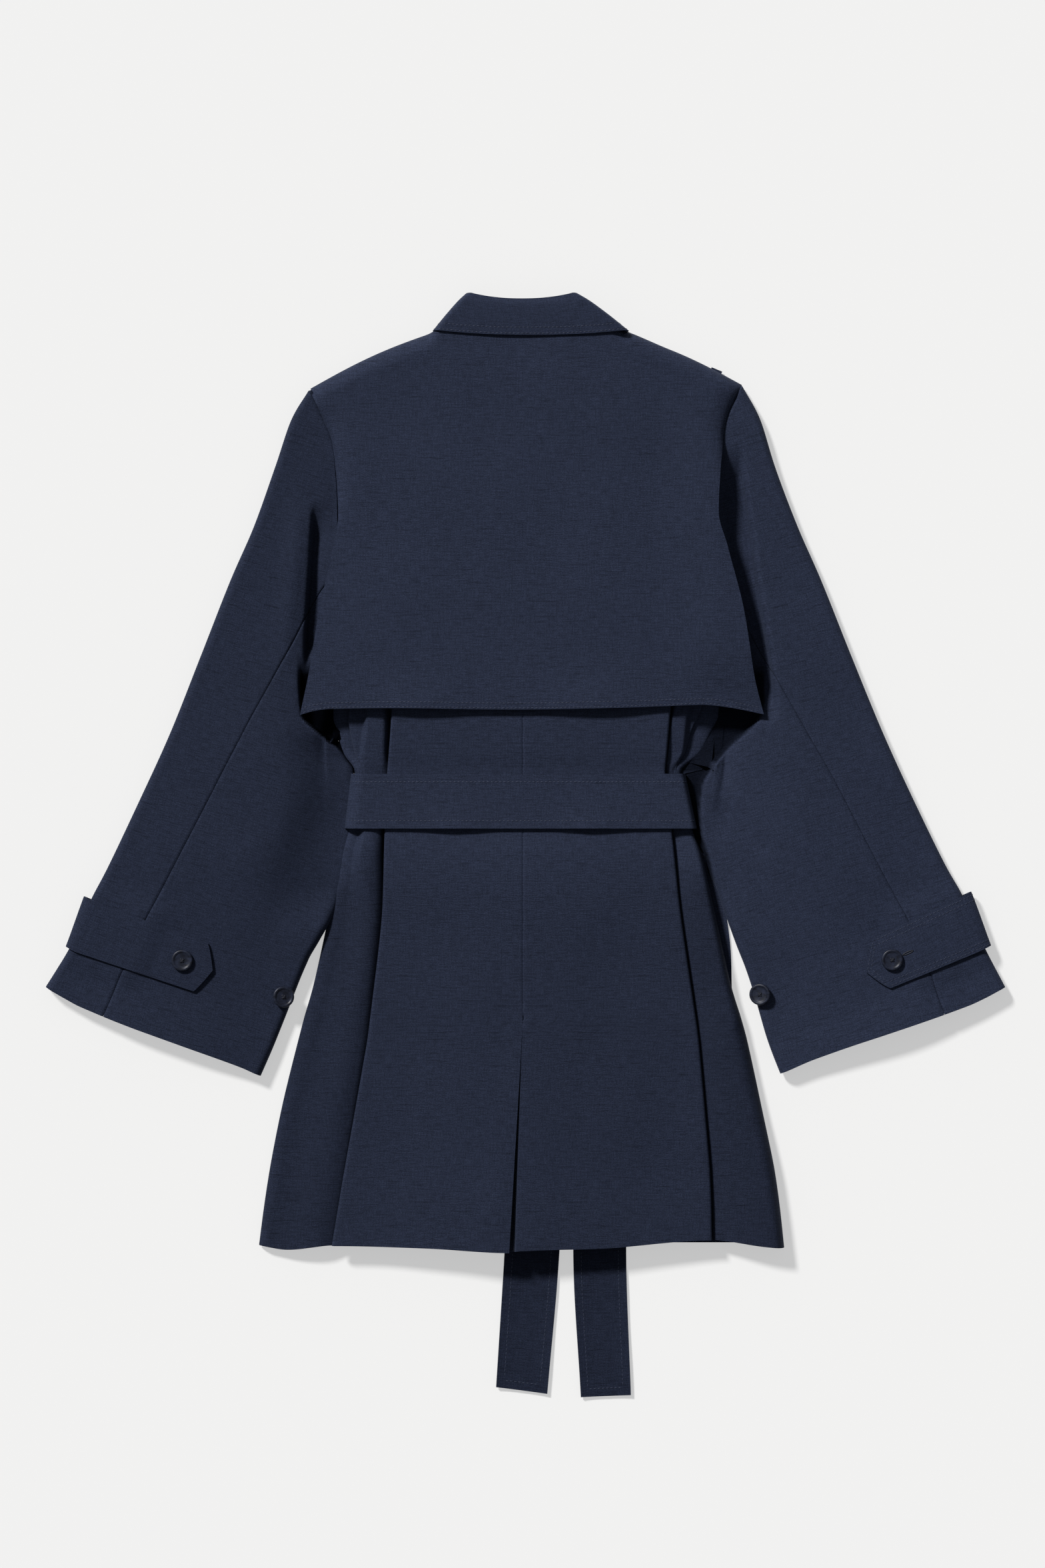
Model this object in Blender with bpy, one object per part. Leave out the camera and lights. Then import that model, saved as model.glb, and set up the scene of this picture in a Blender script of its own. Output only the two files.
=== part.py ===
"""Short navy trench jacket laid face down: back up, sleeves spread, cloth belt tied in front.

X runs across the jacket, Y from hem to collar and Z up from the surface it lies on.  Sizes are in
millimetres and become metres when a mesh is made.  A cloth piece is the middle surface of a wall on a
grid of points, and the heights in the tables are those of that middle surface.  The two sides are
worked out with `out`, the distance from the centre line, so that one function serves both.
"""
import math
from collections import namedtuple

import bpy
import numpy as np

MM = 0.001
CLOTH = 1.5
HALF = CLOTH / 2
SEAM = 0.3
LAYER = 1.9
LEFT, RIGHT = -1, 1

NECK_HALF = 76.0
SHOULDER_FALL = 0.488
FLAP_TOP = 445.5
BACK_TOP = 441.5
SHOULDER_ROLL = 14.0
SHOULDER_EDGE = 4.4
ARMHOLE_GAP = 0.8
FRONT_GAP = 1.4
BACK_SEAM_X = -2.3
VENT_TOP = -150.0

BELT_LOW, BELT_HIGH = 14.0, 61.5
BELT_TOP_Z = 17.2
KNOT_X, KNOT_WIDTH, KNOT_HEIGHT = 48.0, 60.0, 3.6
FRONT_LAP = 60.0

STRAP_FROM, STRAP_TO = 9.0, 10.0
STRAP_UNDER = 50.0
STRAP_BEND = 10.0
BUTTON_RADIUS = 9.3
BUTTON_SEAT = 0.8
BESIDE = np.array([-0.1, 0.0, 0.1])

WOOL = (0.030, 0.038, 0.062, 1.0)
PLASTIC = (0.012, 0.013, 0.018, 1.0)

ArmholeRow = namedtuple("ArmholeRow", "y out")
ARMHOLE_LEFT = [
    ArmholeRow(88.0, 163.4),
    ArmholeRow(105.0, 167.0),
    ArmholeRow(140.0, 167.4),
    ArmholeRow(180.0, 166.0),
    ArmholeRow(222.0, 164.4),
    ArmholeRow(279.4, 162.8),
    ArmholeRow(306.7, 163.9),
    ArmholeRow(349.0, 168.5),
    ArmholeRow(374.0, 178.4),
    ArmholeRow(392.8, 188.6),
]
ARMHOLE_RIGHT = [
    ArmholeRow(64.0, 157.0),
    ArmholeRow(105.0, 167.0),
    ArmholeRow(150.0, 169.5),
    ArmholeRow(222.0, 168.5),
    ArmholeRow(279.4, 167.6),
    ArmholeRow(306.7, 167.8),
    ArmholeRow(349.0, 170.2),
    ArmholeRow(374.0, 178.0),
    ArmholeRow(392.8, 188.6),
]
PocketLine = namedtuple("PocketLine", "out y slope")
POCKET_LEFT = PocketLine(195.0, 110.0, 0.95)
POCKET_RIGHT = PocketLine(206.0, 110.0, 1.10)
POCKET_DEPTH = 0.5
POCKET_REACH = 9.0

# side: half width; side_z: height of the side edge; curl: reach of the side's rounding
# fold: edge of the knife pleat; turn, reach, bend: its angle, return length and fold radius
# groove, depth: the small fold beside the pleat
BackRow = namedtuple(
    "BackRow", "y lean side side_z curl fold turn reach bend fold_z mid_z groove depth")
BACK_LEFT = [
    BackRow(-350, 0, 231.0, 2.2, 8, 167.3, 172, 21, 1.8, 18.0, 27.0, 205, 0),
    BackRow(-318, 0, 227.0, 2.2, 9, 162.0, 172, 21, 1.8, 18.0, 26.5, 201, 0),
    BackRow(-286, 0, 222.3, 2.2, 10, 156.9, 172, 20, 1.8, 17.5, 25.5, 196, 0),
    BackRow(-230, 0, 211.5, 2.2, 11, 147.0, 171, 18, 1.8, 17.0, 24.0, 185, 0),
    BackRow(-166, 0, 195.8, 2.2, 12, 136.0, 170, 16, 1.8, 16.5, 22.0, 172, 0),
    BackRow(-150, 0, 191.6, 2.2, 12, 134.0, 170, 15, 1.8, 16.5, 21.5, 168, 0),
    BackRow(-126, 0, 184.6, 2.2, 12, 131.0, 170, 14, 1.8, 16.0, 21.0, 163, 0),
    BackRow(-53, 0, 168.5, 2.2, 11, 123.3, 168, 10, 1.7, 15.5, 19.0, 150, 0),
    BackRow(-6, 0, 158.8, 3.2, 9, 122.0, 160, 6, 1.5, 15.0, 17.2, 143, 1),
    BackRow(12, 0, 153.4, 3.8, 8, 121.5, 152, 4, 1.3, 14.2, 15.0, 137, 0.5),
    BackRow(38, 0, 150.8, 3.8, 8, 120.3, 150, 3, 1.3, 14.0, 14.8, 136, 0.5),
    BackRow(63, 0, 147.6, 3.8, 7, 119.2, 140, 3, 1.3, 14.2, 15.0, 135, 1.0),
    BackRow(80, 0, 158.0, 2.4, 10, 117.8, 122, 4, 1.5, 16.0, 17.0, 137, 2.5),
    BackRow(105, 0, 165.7, 1.9, 12, 116.0, 106, 5, 1.6, 18.0, 18.6, 139, 3.5),
    BackRow(125, 0, 173.5, 4.0, 14, 115.0, 86, 6, 1.6, 18.8, 19.4, 141, 3),
    BackRow(155, 0, 177.0, 9.0, 14, 115.0, 58, 6, 1.6, 19.5, 20.0, 142, 2),
    BackRow(190, 0.2, 172.0, 14.0, 12, 115.0, 34, 6, 1.6, 19.8, 20.3, 140, 1),
    BackRow(240, 0.4, 164.0, 16.5, 10, 114.0, 20, 6, 1.6, 20.0, 20.5, 138, 0),
    BackRow(300, 0.6, 162.0, 17.0, 10, 113.0, 8, 6, 1.6, 19.8, 20.3, 137, 0),
    BackRow(352, 0.85, 164.0, 17.0, 10, 112.0, 4, 6, 1.6, 19.4, 20.0, 137, 0),
    BackRow(400, 0.95, 172.0, 16.5, 10, 112.0, 3, 6, 1.6, 18.8, 19.6, 140, 0),
    BackRow(427, 1.0, 180.0, 15.5, 10, 112.0, 3, 6, 1.6, 18.2, 19.2, 144, 0),
    BackRow(437, 1.0, 184.0, 15.0, 10, 112.0, 3, 6, 1.6, 18.0, 19.0, 146, 0),
    BackRow(440.4, 1.0, 185.5, 15.0, 10, 112.0, 3, 6, 1.6, 18.0, 19.0, 147, 0),
    BackRow(BACK_TOP, 1.0, 186.0, 15.0, 10, 112.0, 3, 6, 1.6, 18.0, 19.0, 147, 0),
]
BACK_RIGHT = [
    BackRow(-350, 0, 224.2, 2.2, 8, 161.0, 172, 21, 1.8, 18.0, 27.0, 198, 0),
    BackRow(-318, 0, 220.8, 2.2, 9, 160.5, 172, 21, 1.8, 18.0, 26.5, 195, 0),
    BackRow(-286, 0, 216.4, 2.2, 10, 159.4, 172, 20, 1.8, 17.5, 25.5, 192, 0),
    BackRow(-230, 0, 205.0, 2.2, 11, 155.0, 171, 18, 1.8, 17.0, 24.0, 184, 0),
    BackRow(-166, 0, 191.0, 2.2, 12, 149.2, 170, 16, 1.8, 16.5, 22.0, 172, 0),
    BackRow(-150, 0, 186.5, 2.2, 12, 147.0, 170, 15, 1.8, 16.5, 21.5, 169, 0),
    BackRow(-126, 0, 179.0, 2.2, 12, 143.5, 170, 14, 1.8, 16.0, 21.0, 163, 0),
    BackRow(-53, 0, 162.7, 2.2, 11, 133.1, 168, 10, 1.7, 15.5, 19.0, 148, 0),
    BackRow(-6, 0, 151.5, 3.2, 8, 128.2, 160, 6, 1.5, 15.0, 17.2, 140, 1),
    BackRow(12, 0, 144.6, 3.8, 6, 126.2, 152, 4, 1.3, 14.2, 15.0, 134, 0.5),
    BackRow(38, 0, 139.4, 3.8, 5, 124.0, 150, 3, 1.3, 14.0, 14.8, 130, 0.5),
    BackRow(63, 0, 134.4, 3.8, 4, 120.6, 140, 3, 1.3, 14.2, 15.0, 126.2, 0.5),
    BackRow(80, 0, 151.0, 2.4, 9, 122.0, 122, 4, 1.5, 16.0, 17.0, 135, 2.5),
    BackRow(105, 0, 164.0, 1.9, 12, 124.0, 106, 5, 1.6, 18.0, 18.6, 140, 3.5),
    BackRow(125, 0, 174.5, 4.0, 14, 125.2, 86, 6, 1.6, 18.8, 19.4, 144, 3),
    BackRow(155, 0, 178.0, 9.0, 14, 125.0, 58, 6, 1.6, 19.5, 20.0, 146, 2),
    BackRow(190, 0.2, 174.0, 14.0, 12, 124.0, 34, 6, 1.6, 19.8, 20.3, 146, 1),
    BackRow(240, 0.4, 168.0, 16.5, 10, 122.0, 20, 6, 1.6, 20.0, 20.5, 144, 0),
    BackRow(300, 0.6, 167.0, 17.0, 10, 120.0, 8, 6, 1.6, 19.8, 20.3, 142, 0),
    BackRow(352, 0.85, 167.0, 17.0, 10, 118.0, 4, 6, 1.6, 19.4, 20.0, 140, 0),
    BackRow(400, 0.95, 172.0, 16.5, 10, 116.0, 3, 6, 1.6, 18.8, 19.6, 140, 0),
    BackRow(427, 1.0, 180.0, 15.5, 10, 114.0, 3, 6, 1.6, 18.2, 19.2, 144, 0),
    BackRow(437, 1.0, 184.0, 15.0, 10, 112.0, 3, 6, 1.6, 18.0, 19.0, 146, 0),
    BackRow(440.4, 1.0, 185.5, 15.0, 10, 112.0, 3, 6, 1.6, 18.0, 19.0, 147, 0),
    BackRow(BACK_TOP, 1.0, 186.0, 15.0, 10, 112.0, 3, 6, 1.6, 18.0, 19.0, 147, 0),
]

VentRow = namedtuple("VentRow", "y lap_edge under_edge sink")
VENT = [
    VentRow(-350.0, 11.7, 26.0, 5.0),
    VentRow(-230.0, 4.4, 24.0, 5.0),
    VentRow(-166.0, 0.7, 20.0, 4.6),
    VentRow(VENT_TOP, 0.0, 0.0, 4.0),
    VentRow(-126.0, 0.0, 0.0, 0.0),
    VentRow(500.0, 0.0, 0.0, 0.0),
]

FlapRow = namedtuple("FlapRow", "y lean left right side_z mid_z")
FLAP = [
    FlapRow(118.0, 0.10, 195.2, 206.2, 21.0, 24.6),
    FlapRow(150.0, 0.14, 188.6, 198.5, 21.0, 24.4),
    FlapRow(212.0, 0.20, 178.6, 189.0, 20.6, 24.2),
    FlapRow(270.0, 0.36, 167.0, 175.5, 20.2, 24.0),
    FlapRow(310.0, 0.60, 161.8, 167.0, 20.2, 23.8),
    FlapRow(352.0, 0.85, 163.0, 167.0, 20.2, 23.4),
    FlapRow(400.0, 0.95, 169.5, 170.8, 20.0, 22.6),
    FlapRow(430.0, 1.0, 179.5, 179.5, 19.6, 22.0),
    FlapRow(440.5, 1.0, 183.8, 183.8, 19.4, 21.9),
    FlapRow(444.2, 1.0, 186.0, 186.0, 19.4, 21.9),
    FlapRow(FLAP_TOP, 1.0, 186.6, 186.6, 19.4, 21.9),
]
FLAP_SEWN_FROM = 300.0
FLAP_ACROSS = (-1, -0.96, -0.88, -0.76, -0.64, -0.52, -0.40, -0.26, -0.13, 0,
               0.13, 0.26, 0.40, 0.52, 0.64, 0.76, 0.88, 0.96, 1)

# outer and inner: the two edges of the flat sleeve; bow: share of the armhole's curve; edge: radius
# of the edge folds; crown, dip: rise and hollow of the upper layer; lift: height over the strap;
# seam: place of the back seam
SleeveRow = namedtuple(
    "SleeveRow", "outer outer_y inner inner_y bow edge crown dip lift seam")
SLEEVE_LEFT = [
    SleeveRow(188.6, 392.8, 163.4, 88.0, 1.0, 5.6, 2.5, 0.0, 0, 0.560),
    SleeveRow(202.7, 370.5, 162.9, 65.5, 0.9, 6.0, 3.0, 5.5, 0, 0.470),
    SleeveRow(217.2, 328.7, 161.8, 42.0, 0.6, 6.2, 4.0, 4.5, 0, 0.418),
    SleeveRow(236.0, 276.0, 161.4, 18.0, 0.35, 6.2, 4.6, 2.0, 0, 0.388),
    SleeveRow(255.5, 231.3, 162.6, -6.0, 0.12, 6.2, 4.6, 0.5, 0, 0.367),
    SleeveRow(282.0, 164.0, 167.4, -34.0, 0.0, 6.2, 4.6, 0.0, 0, 0.328),
    SleeveRow(309.0, 96.0, 173.2, -62.0, 0.0, 6.2, 4.6, 0.0, 0, 0.290),
    SleeveRow(336.4, 36.0, 180.5, -82.0, 0.0, 6.0, 4.4, 0.0, 0, 0.275),
    SleeveRow(364.0, -22.0, 188.5, -100.0, 0.0, 5.8, 4.0, 0.0, 0, 0.265),
    SleeveRow(377.3, -47.7, 194.6, -114.0, 0.0, 5.6, 3.6, 0.0, LAYER, 0.262),
    SleeveRow(396.0, -89.8, 209.9, -153.0, 0.0, 5.6, 3.6, 0.0, LAYER, 0.259),
    SleeveRow(407.0, -108.0, 220.0, -178.0, -0.1, 5.8, 4.2, 0.0, 0, 0.269),
    SleeveRow(416.7, -123.4, 230.0, -200.8, -0.2, 6.0, 5.0, 0.0, 0, 0.279),
]
SLEEVE_RIGHT = [
    SleeveRow(188.6, 392.8, 157.0, 64.0, 1.0, 5.6, 2.5, 0.0, 0, 0.550),
    SleeveRow(202.7, 370.5, 154.8, 44.0, 0.9, 6.0, 3.0, 6.0, 0, 0.460),
    SleeveRow(216.6, 328.7, 154.4, 24.0, 0.6, 6.2, 4.0, 6.0, 0, 0.415),
    SleeveRow(236.5, 276.0, 156.4, 4.0, 0.35, 6.2, 4.6, 3.0, 0, 0.388),
    SleeveRow(256.1, 231.3, 160.6, -16.0, 0.12, 6.2, 4.6, 0.8, 0, 0.367),
    SleeveRow(283.0, 164.0, 167.5, -42.0, 0.0, 6.2, 4.6, 0.0, 0, 0.328),
    SleeveRow(311.0, 96.0, 175.5, -66.0, 0.0, 6.2, 4.6, 0.0, 0, 0.290),
    SleeveRow(338.5, 36.0, 183.5, -88.0, 0.0, 6.0, 4.4, 0.0, 0, 0.275),
    SleeveRow(366.0, -20.0, 191.0, -107.0, 0.0, 5.8, 4.0, 0.0, 0, 0.265),
    SleeveRow(379.6, -44.3, 198.0, -128.0, 0.0, 5.6, 3.6, 0.0, LAYER, 0.262),
    SleeveRow(399.0, -89.8, 209.5, -167.6, 0.0, 5.6, 3.6, 0.0, LAYER, 0.259),
    SleeveRow(408.0, -107.0, 215.0, -183.0, -0.1, 5.8, 4.2, 0.0, 0, 0.269),
    SleeveRow(416.7, -123.6, 221.3, -198.8, -0.2, 6.0, 5.0, 0.0, 0, 0.279),
]
SHOULDER_TURN = np.array([-0.45, -0.89])

StrapEnds = namedtuple("StrapEnds", "upper tip lower stand_upper stand_lower button")
STRAP_LEFT = StrapEnds(108.5, 122.4, 114.7, 6.0, 2.8, 94.6)
STRAP_RIGHT = StrapEnds(86.9, 104.0, 89.5, 7.5, 5.0, 79.0)
CuffButton = namedtuple("CuffButton", "row inset tilt")
CUFF_BUTTON_LEFT = CuffButton(9.5, 6.0, 24.0)
CUFF_BUTTON_RIGHT = CuffButton(9.15, 5.0, 30.0)

FrontRow = namedtuple("FrontRow", "y lean left right side_lift mid_lift")
FRONT = [
    FrontRow(-346.0, 0, 229.5, 222.6, 0, LAYER),
    FrontRow(-172.0, 0, 196.0, 194.0, 0, LAYER),
    FrontRow(-100.0, 0, 179.0, 185.0, 0, LAYER),
    FrontRow(-30.0, 0, 162.2, 161.0, 0, LAYER),
    FrontRow(6.0, 0, 148.0, 139.0, LAYER, 4.2),
    FrontRow(68.0, 0, 141.0, 127.0, LAYER, 4.2),
    FrontRow(86.0, 0, 158.0, 154.0, 0, LAYER),
    FrontRow(105.0, 0, 170.0, 170.0, 0, LAYER),
    FrontRow(140.0, 0, 170.0, 170.0, 0, LAYER),
    FrontRow(185.0, 0.1, 170.0, 170.0, 0, LAYER),
    FrontRow(240.0, 0.3, 170.0, 170.0, 0, LAYER),
    FrontRow(310.0, 0.6, 170.0, 170.0, 0, LAYER),
    FrontRow(352.0, 0.85, 170.0, 170.0, 0, LAYER),
    FrontRow(385.0, 0.92, 175.0, 175.0, 0, LAYER),
    FrontRow(412.0, 0.97, 185.0, 185.0, 0, LAYER),
    FrontRow(430.0, 1.0, 185.0, 185.0, 0, LAYER),
    FrontRow(FLAP_TOP, 1.0, 190.0, 190.0, 0, LAYER),
]

CollarRow = namedtuple("CollarRow", "left right back_y end_y front_y top_z floor_z spread")
COLLAR_FALL = [
    CollarRow(49.6, 45.4, 479.2, 479.6, 432.0, 22.0, HALF, 42.0),
    CollarRow(56.0, 55.0, 472.0, 474.0, 424.0, 24.2, HALF, 41.0),
    CollarRow(66.5, 70.5, 458.0, 462.0, 408.0, 24.6, HALF, 38.0),
    CollarRow(77.8, 87.6, 442.4, 447.9, 388.0, 24.2, HALF, 35.0),
]
COLLAR_STAND = [
    CollarRow(73.0, 73.0, 446.4, 446.6, 392.2, 20.4, HALF + LAYER, 60.0),
    CollarRow(60.0, 58.0, 461.0, 462.0, 410.0, 20.4, HALF + LAYER, 50.0),
    CollarRow(46.6, 42.6, 476.0, 477.0, 430.0, 20.4, HALF + LAYER, 40.0),
]
COLLAR_OPEN = 8.0
COLLAR_CURL = 5.0

TailRow = namedtuple("TailRow", "left left_y right right_y")
TAIL_LEFT = [
    TailRow(21.0, 13.5, 46.0, 13.5),
    TailRow(3.0, -60.0, 47.0, -60.0),
    TailRow(-11.0, -200.0, 36.0, -200.0),
    TailRow(-17.9, -348.0, 29.9, -348.0),
    TailRow(-25.5, -471.7, 18.9, -477.5),
]
TAIL_RIGHT = [
    TailRow(50.0, 13.5, 75.0, 13.5),
    TailRow(49.5, -60.0, 93.0, -60.0),
    TailRow(45.0, -200.0, 91.0, -200.0),
    TailRow(41.5, -348.0, 87.6, -348.0),
    TailRow(48.2, -480.4, 91.6, -478.6),
]

LOOP_X, LOOP_Y = 164.0, 409.0
LOOP_WIDTH, LOOP_LENGTH = 10.0, 13.0


def ease(t):
    """Smooth step from 0 to 1."""
    t = np.clip(t, 0.0, 1.0)
    return t * t * (3.0 - 2.0 * t)


def unit(vectors):
    """Vectors of length one."""
    return vectors / np.maximum(np.linalg.norm(vectors, axis=-1, keepdims=True), 1e-9)


def flow(keys, values, at):
    """Smooth curve through a short table, without overshoot."""
    keys = np.asarray(keys, float)
    values = np.asarray(values, float)
    step = np.diff(keys)
    rate = np.diff(values) / step
    same = rate[:-1] * rate[1:]
    total = np.where(same > 0, rate[:-1] + rate[1:], 1.0)
    slope = np.concatenate([rate[:1], np.where(same > 0, 2.0 * same / total, 0.0), rate[-1:]])
    i = np.clip(np.searchsorted(keys, at, side="right") - 1, 0, len(keys) - 2)
    t = (np.clip(at, keys[0], keys[-1]) - keys[i]) / step[i]
    start = values[i] * (1 + 2 * t) * (1 - t) ** 2 + slope[i] * step[i] * t * (1 - t) ** 2
    end = values[i + 1] * t * t * (3 - 2 * t) - slope[i + 1] * step[i] * t * t * (1 - t)
    return start + end


def sampled(rows, at):
    """The table's columns at the given places, counted in rows, each as a column of numbers."""
    index = np.arange(len(rows))
    columns = [flow(index, [row[k] for row in rows], np.asarray(at, float)) for k in range(len(rows[0]))]
    return type(rows[0])(*(column[:, None] for column in columns))


def tangents(grid, axis):
    """Directions along one way of a grid, halving the angle at each point."""
    step = unit(np.diff(grid, axis=axis))
    before = np.concatenate([np.take(step, [0], axis=axis), step], axis=axis)
    after = np.concatenate([step, np.take(step, [-1], axis=axis)], axis=axis)
    return unit(before + after)


def normals(grid):
    """Directions across the wall at each point of a grid."""
    return unit(np.cross(tangents(grid, 1), tangents(grid, 0)))


def material(name, color, roughness):
    """A plain Principled material."""
    made = bpy.data.materials.get(name) or bpy.data.materials.new(name)
    made.use_nodes = True
    shader = made.node_tree.nodes["Principled BSDF"]
    shader.inputs["Base Color"].default_value = color
    shader.inputs["Roughness"].default_value = roughness
    made.diffuse_color = color
    return made


def add_object(name, points, triangles, color=WOOL, roughness=0.85):
    """A closed mesh as a named object, its faces turned outward."""
    corners = points[triangles]
    volume = np.einsum("ij,ij->i", corners[:, 0], np.cross(corners[:, 1], corners[:, 2])).sum()
    if volume < 0:
        triangles = triangles[:, ::-1]
    mesh = bpy.data.meshes.new(name)
    mesh.from_pydata((points * MM).tolist(), [], triangles.tolist())
    mesh.materials.append(material(name + "_finish", color, roughness))
    made = bpy.data.objects.new(name, mesh)
    bpy.context.scene.collection.objects.link(made)
    return made


def two_triangles(a, b, c, d):
    """Each four-sided cell as two triangles."""
    cells = [np.stack([a, b, c], -1).reshape(-1, 3), np.stack([a, c, d], -1).reshape(-1, 3)]
    return np.concatenate(cells)


def wall(name, grid, thickness=CLOTH, across=None):
    """Cloth of even thickness on a middle surface, closed by a rim."""
    across = (normals(grid) if across is None else across) * (thickness / 2)
    points = np.concatenate([(grid + across).reshape(-1, 3), (grid - across).reshape(-1, 3)])
    count = grid.shape[0] * grid.shape[1]
    face = np.arange(count).reshape(grid.shape[:2])
    cells = (face[:-1, :-1], face[:-1, 1:], face[1:, 1:], face[1:, :-1])
    upper = two_triangles(*cells)
    lower = upper[:, ::-1] + count
    rim = np.concatenate([face[0, :], face[1:, -1], face[-1, -2::-1], face[-2:0:-1, 0]])
    after = np.roll(rim, -1)
    edge = two_triangles(after, rim, rim + count, after + count)
    return add_object(name, points, np.concatenate([upper, lower, edge]))


def place(side, out, y, z):
    """Points of one side of the jacket from their distance to the centre line."""
    return np.stack(np.broadcast_arrays(side * out, y, z), axis=-1).astype(float)


def shoulder_drop(out):
    """How far the shoulder line has fallen at a distance from the centre."""
    return np.maximum(out - NECK_HALF, 0.0) * SHOULDER_FALL


def neckline_drop(out):
    """The front's fall: the neckline inside the neck point, the shoulder outside it."""
    return shoulder_drop(out) + 55.0 * ease((NECK_HALF - out) / 60.0)


def shoulder_rolled(out, y, z, top):
    """Heights rounded down to the shoulder edge."""
    below = np.clip((top - shoulder_drop(out) - y) * 0.9 / SHOULDER_ROLL, 0.0, 1.0)
    rolled = SHOULDER_EDGE + (z - SHOULDER_EDGE) * np.sqrt(1.0 - (1.0 - below) ** 2)
    share = ease((out - NECK_HALF + 2.0) / 12.0)
    return z + (rolled - z) * share


def back_panel(side, rows, at):
    """One back panel: rounded side, small fold, knife pleat, then the flat part to the centre seam."""
    row = sampled(rows, at)
    row = row._replace(side=armhole_limit(side, row.y, row.lean, row.side))
    angle = np.radians(row.turn)
    low = row.fold_z - 2 * row.bend * (1 - np.cos(angle)) - row.reach * np.sin(angle)
    second = row.fold - np.where(row.turn > 90, row.bend * (1 - np.sin(angle)), 0.0)
    first = second + row.reach * np.cos(angle) + row.bend * np.sin(angle)

    curl = np.radians(np.linspace(0, 90, 5))[None, :]
    curl_out = row.side - row.curl * (1 - np.cos(curl))
    curl_z = row.side_z + (low - row.side_z) * np.sin(curl)

    groove_out = row.groove + np.array([[2.8, 0.0, -2.8]])
    groove_z = low - row.depth * np.array([[0.0, 1.0, 0.0]])

    rise = angle * np.linspace(0, 1, 5)[None, :]
    inner_out = first - row.bend * np.sin(rise)
    inner_z = low + row.bend * (1 - np.cos(rise))
    fall = angle * np.linspace(1, 0, 5)[None, :]
    outer_out = second + row.bend * (np.sin(fall) - np.sin(angle))
    outer_z = row.fold_z - row.bend * (1 - np.cos(fall))

    vent_y = [vent.y for vent in VENT]
    lap = flow(vent_y, [vent.lap_edge for vent in VENT], row.y)
    under = flow(vent_y, [vent.under_edge for vent in VENT], row.y)
    sink = flow(vent_y, [vent.sink for vent in VENT], row.y)
    if side == LEFT:
        centre = -BACK_SEAM_X + SEAM / 2 + lap
        sink = sink * 0
    else:
        centre = BACK_SEAM_X + SEAM / 2 - under
    share = np.array([[0.22, 0.46, 0.70, 0.82, 0.91, 1.0]])
    start = outer_out[:, -1:]
    flat_out = start + (centre - start) * share
    flat_z = row.fold_z + (row.mid_z - row.fold_z) * ease(share) - sink * ease((26.0 - flat_out) / 22.0)

    out = np.concatenate([curl_out, groove_out, inner_out, outer_out, flat_out], axis=1)
    z = np.concatenate([curl_z, groove_z, inner_z, outer_z, flat_z], axis=1)
    y = row.y - row.lean * shoulder_drop(out)
    return place(side, out, y, shoulder_rolled(out, y, z, BACK_TOP))


def storm_flap():
    """The loose flap over the upper back, sewn in at shoulders and armholes."""
    row = sampled(FLAP, np.arange(len(FLAP)))
    across = np.array([FLAP_ACROSS])
    sewn = row.y > FLAP_SEWN_FROM
    left = np.where(sewn, armhole_limit(LEFT, row.y, row.lean, row.left), row.left)
    right = np.where(sewn, armhole_limit(RIGHT, row.y, row.lean, row.right), row.right)
    x = np.where(across < 0, across * left, across * right)
    out = np.abs(x)
    y = row.y - row.lean * shoulder_drop(out)
    z = row.mid_z - (row.mid_z - row.side_z) * np.abs(across) ** 3
    return place(RIGHT, x, y, shoulder_rolled(out, y, z, FLAP_TOP))


def front_panel(side):
    """One plain front on the surface, raised over the belt, the tails and the front it laps."""
    row = sampled(FRONT, np.arange(len(FRONT)))
    edge = armhole_limit(side, row.y, row.lean, row.left if side == LEFT else row.right,
                         FRONT_GAP)
    inner = np.array([[125.0, 105.0, 86.0, 62.0, 20.0, -20.0, -FRONT_LAP]])
    out = np.concatenate([edge, edge * 0.55 + 125.0 * 0.45, np.repeat(inner, len(FRONT), axis=0)], axis=1)
    y = row.y - row.lean * neckline_drop(np.maximum(out, 14.0))
    z = HALF + row.side_lift + (row.mid_lift - row.side_lift) * ease((125.0 - out) / 20.0)
    if side == LEFT:
        z = z + LAYER * ease((86.0 - out) / 24.0)
    return place(side, out, y, z)


def armhole_rows(side):
    """The armhole of one side."""
    return ARMHOLE_LEFT if side == LEFT else ARMHOLE_RIGHT


def armhole_limit(side, y, lean, out, gap=ARMHOLE_GAP):
    """Half widths held just inside the armhole, for rows that reach it."""
    rows = armhole_rows(side)
    for _ in range(4):
        end_y = y - lean * shoulder_drop(out)
        edge = flow([row.y for row in rows], [row.out for row in rows], end_y) - gap
        out = np.where(end_y > rows[0].y, np.minimum(out, edge), out)
    return out


def pocket_share(side, out, y):
    """How deep a point lies in the hollow between sleeve and body under the flap's corner."""
    line = POCKET_LEFT if side == LEFT else POCKET_RIGHT
    inside = (y - line.y - line.slope * (out - line.out)) / math.hypot(1.0, line.slope)
    across = 1.0 - ease((out - line.out + POCKET_REACH) / POCKET_REACH)
    return ease(inside / POCKET_REACH) * across * (1.0 - ease((y - 118.0) / 50.0))


def armhole_bulge(side, share):
    """How far the armhole stands in from its chord."""
    rows = armhole_rows(side)[::-1]
    points = np.array([[row.out, row.y] for row in rows])
    chord = points[-1] - points[0]
    length = np.hypot(*chord)
    along = chord / length
    inward = np.array([along[1], -along[0]])
    rest = points - points[0]
    return flow(rest @ along / length, rest @ inward, np.clip(share, 0.0, 1.0))


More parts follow.
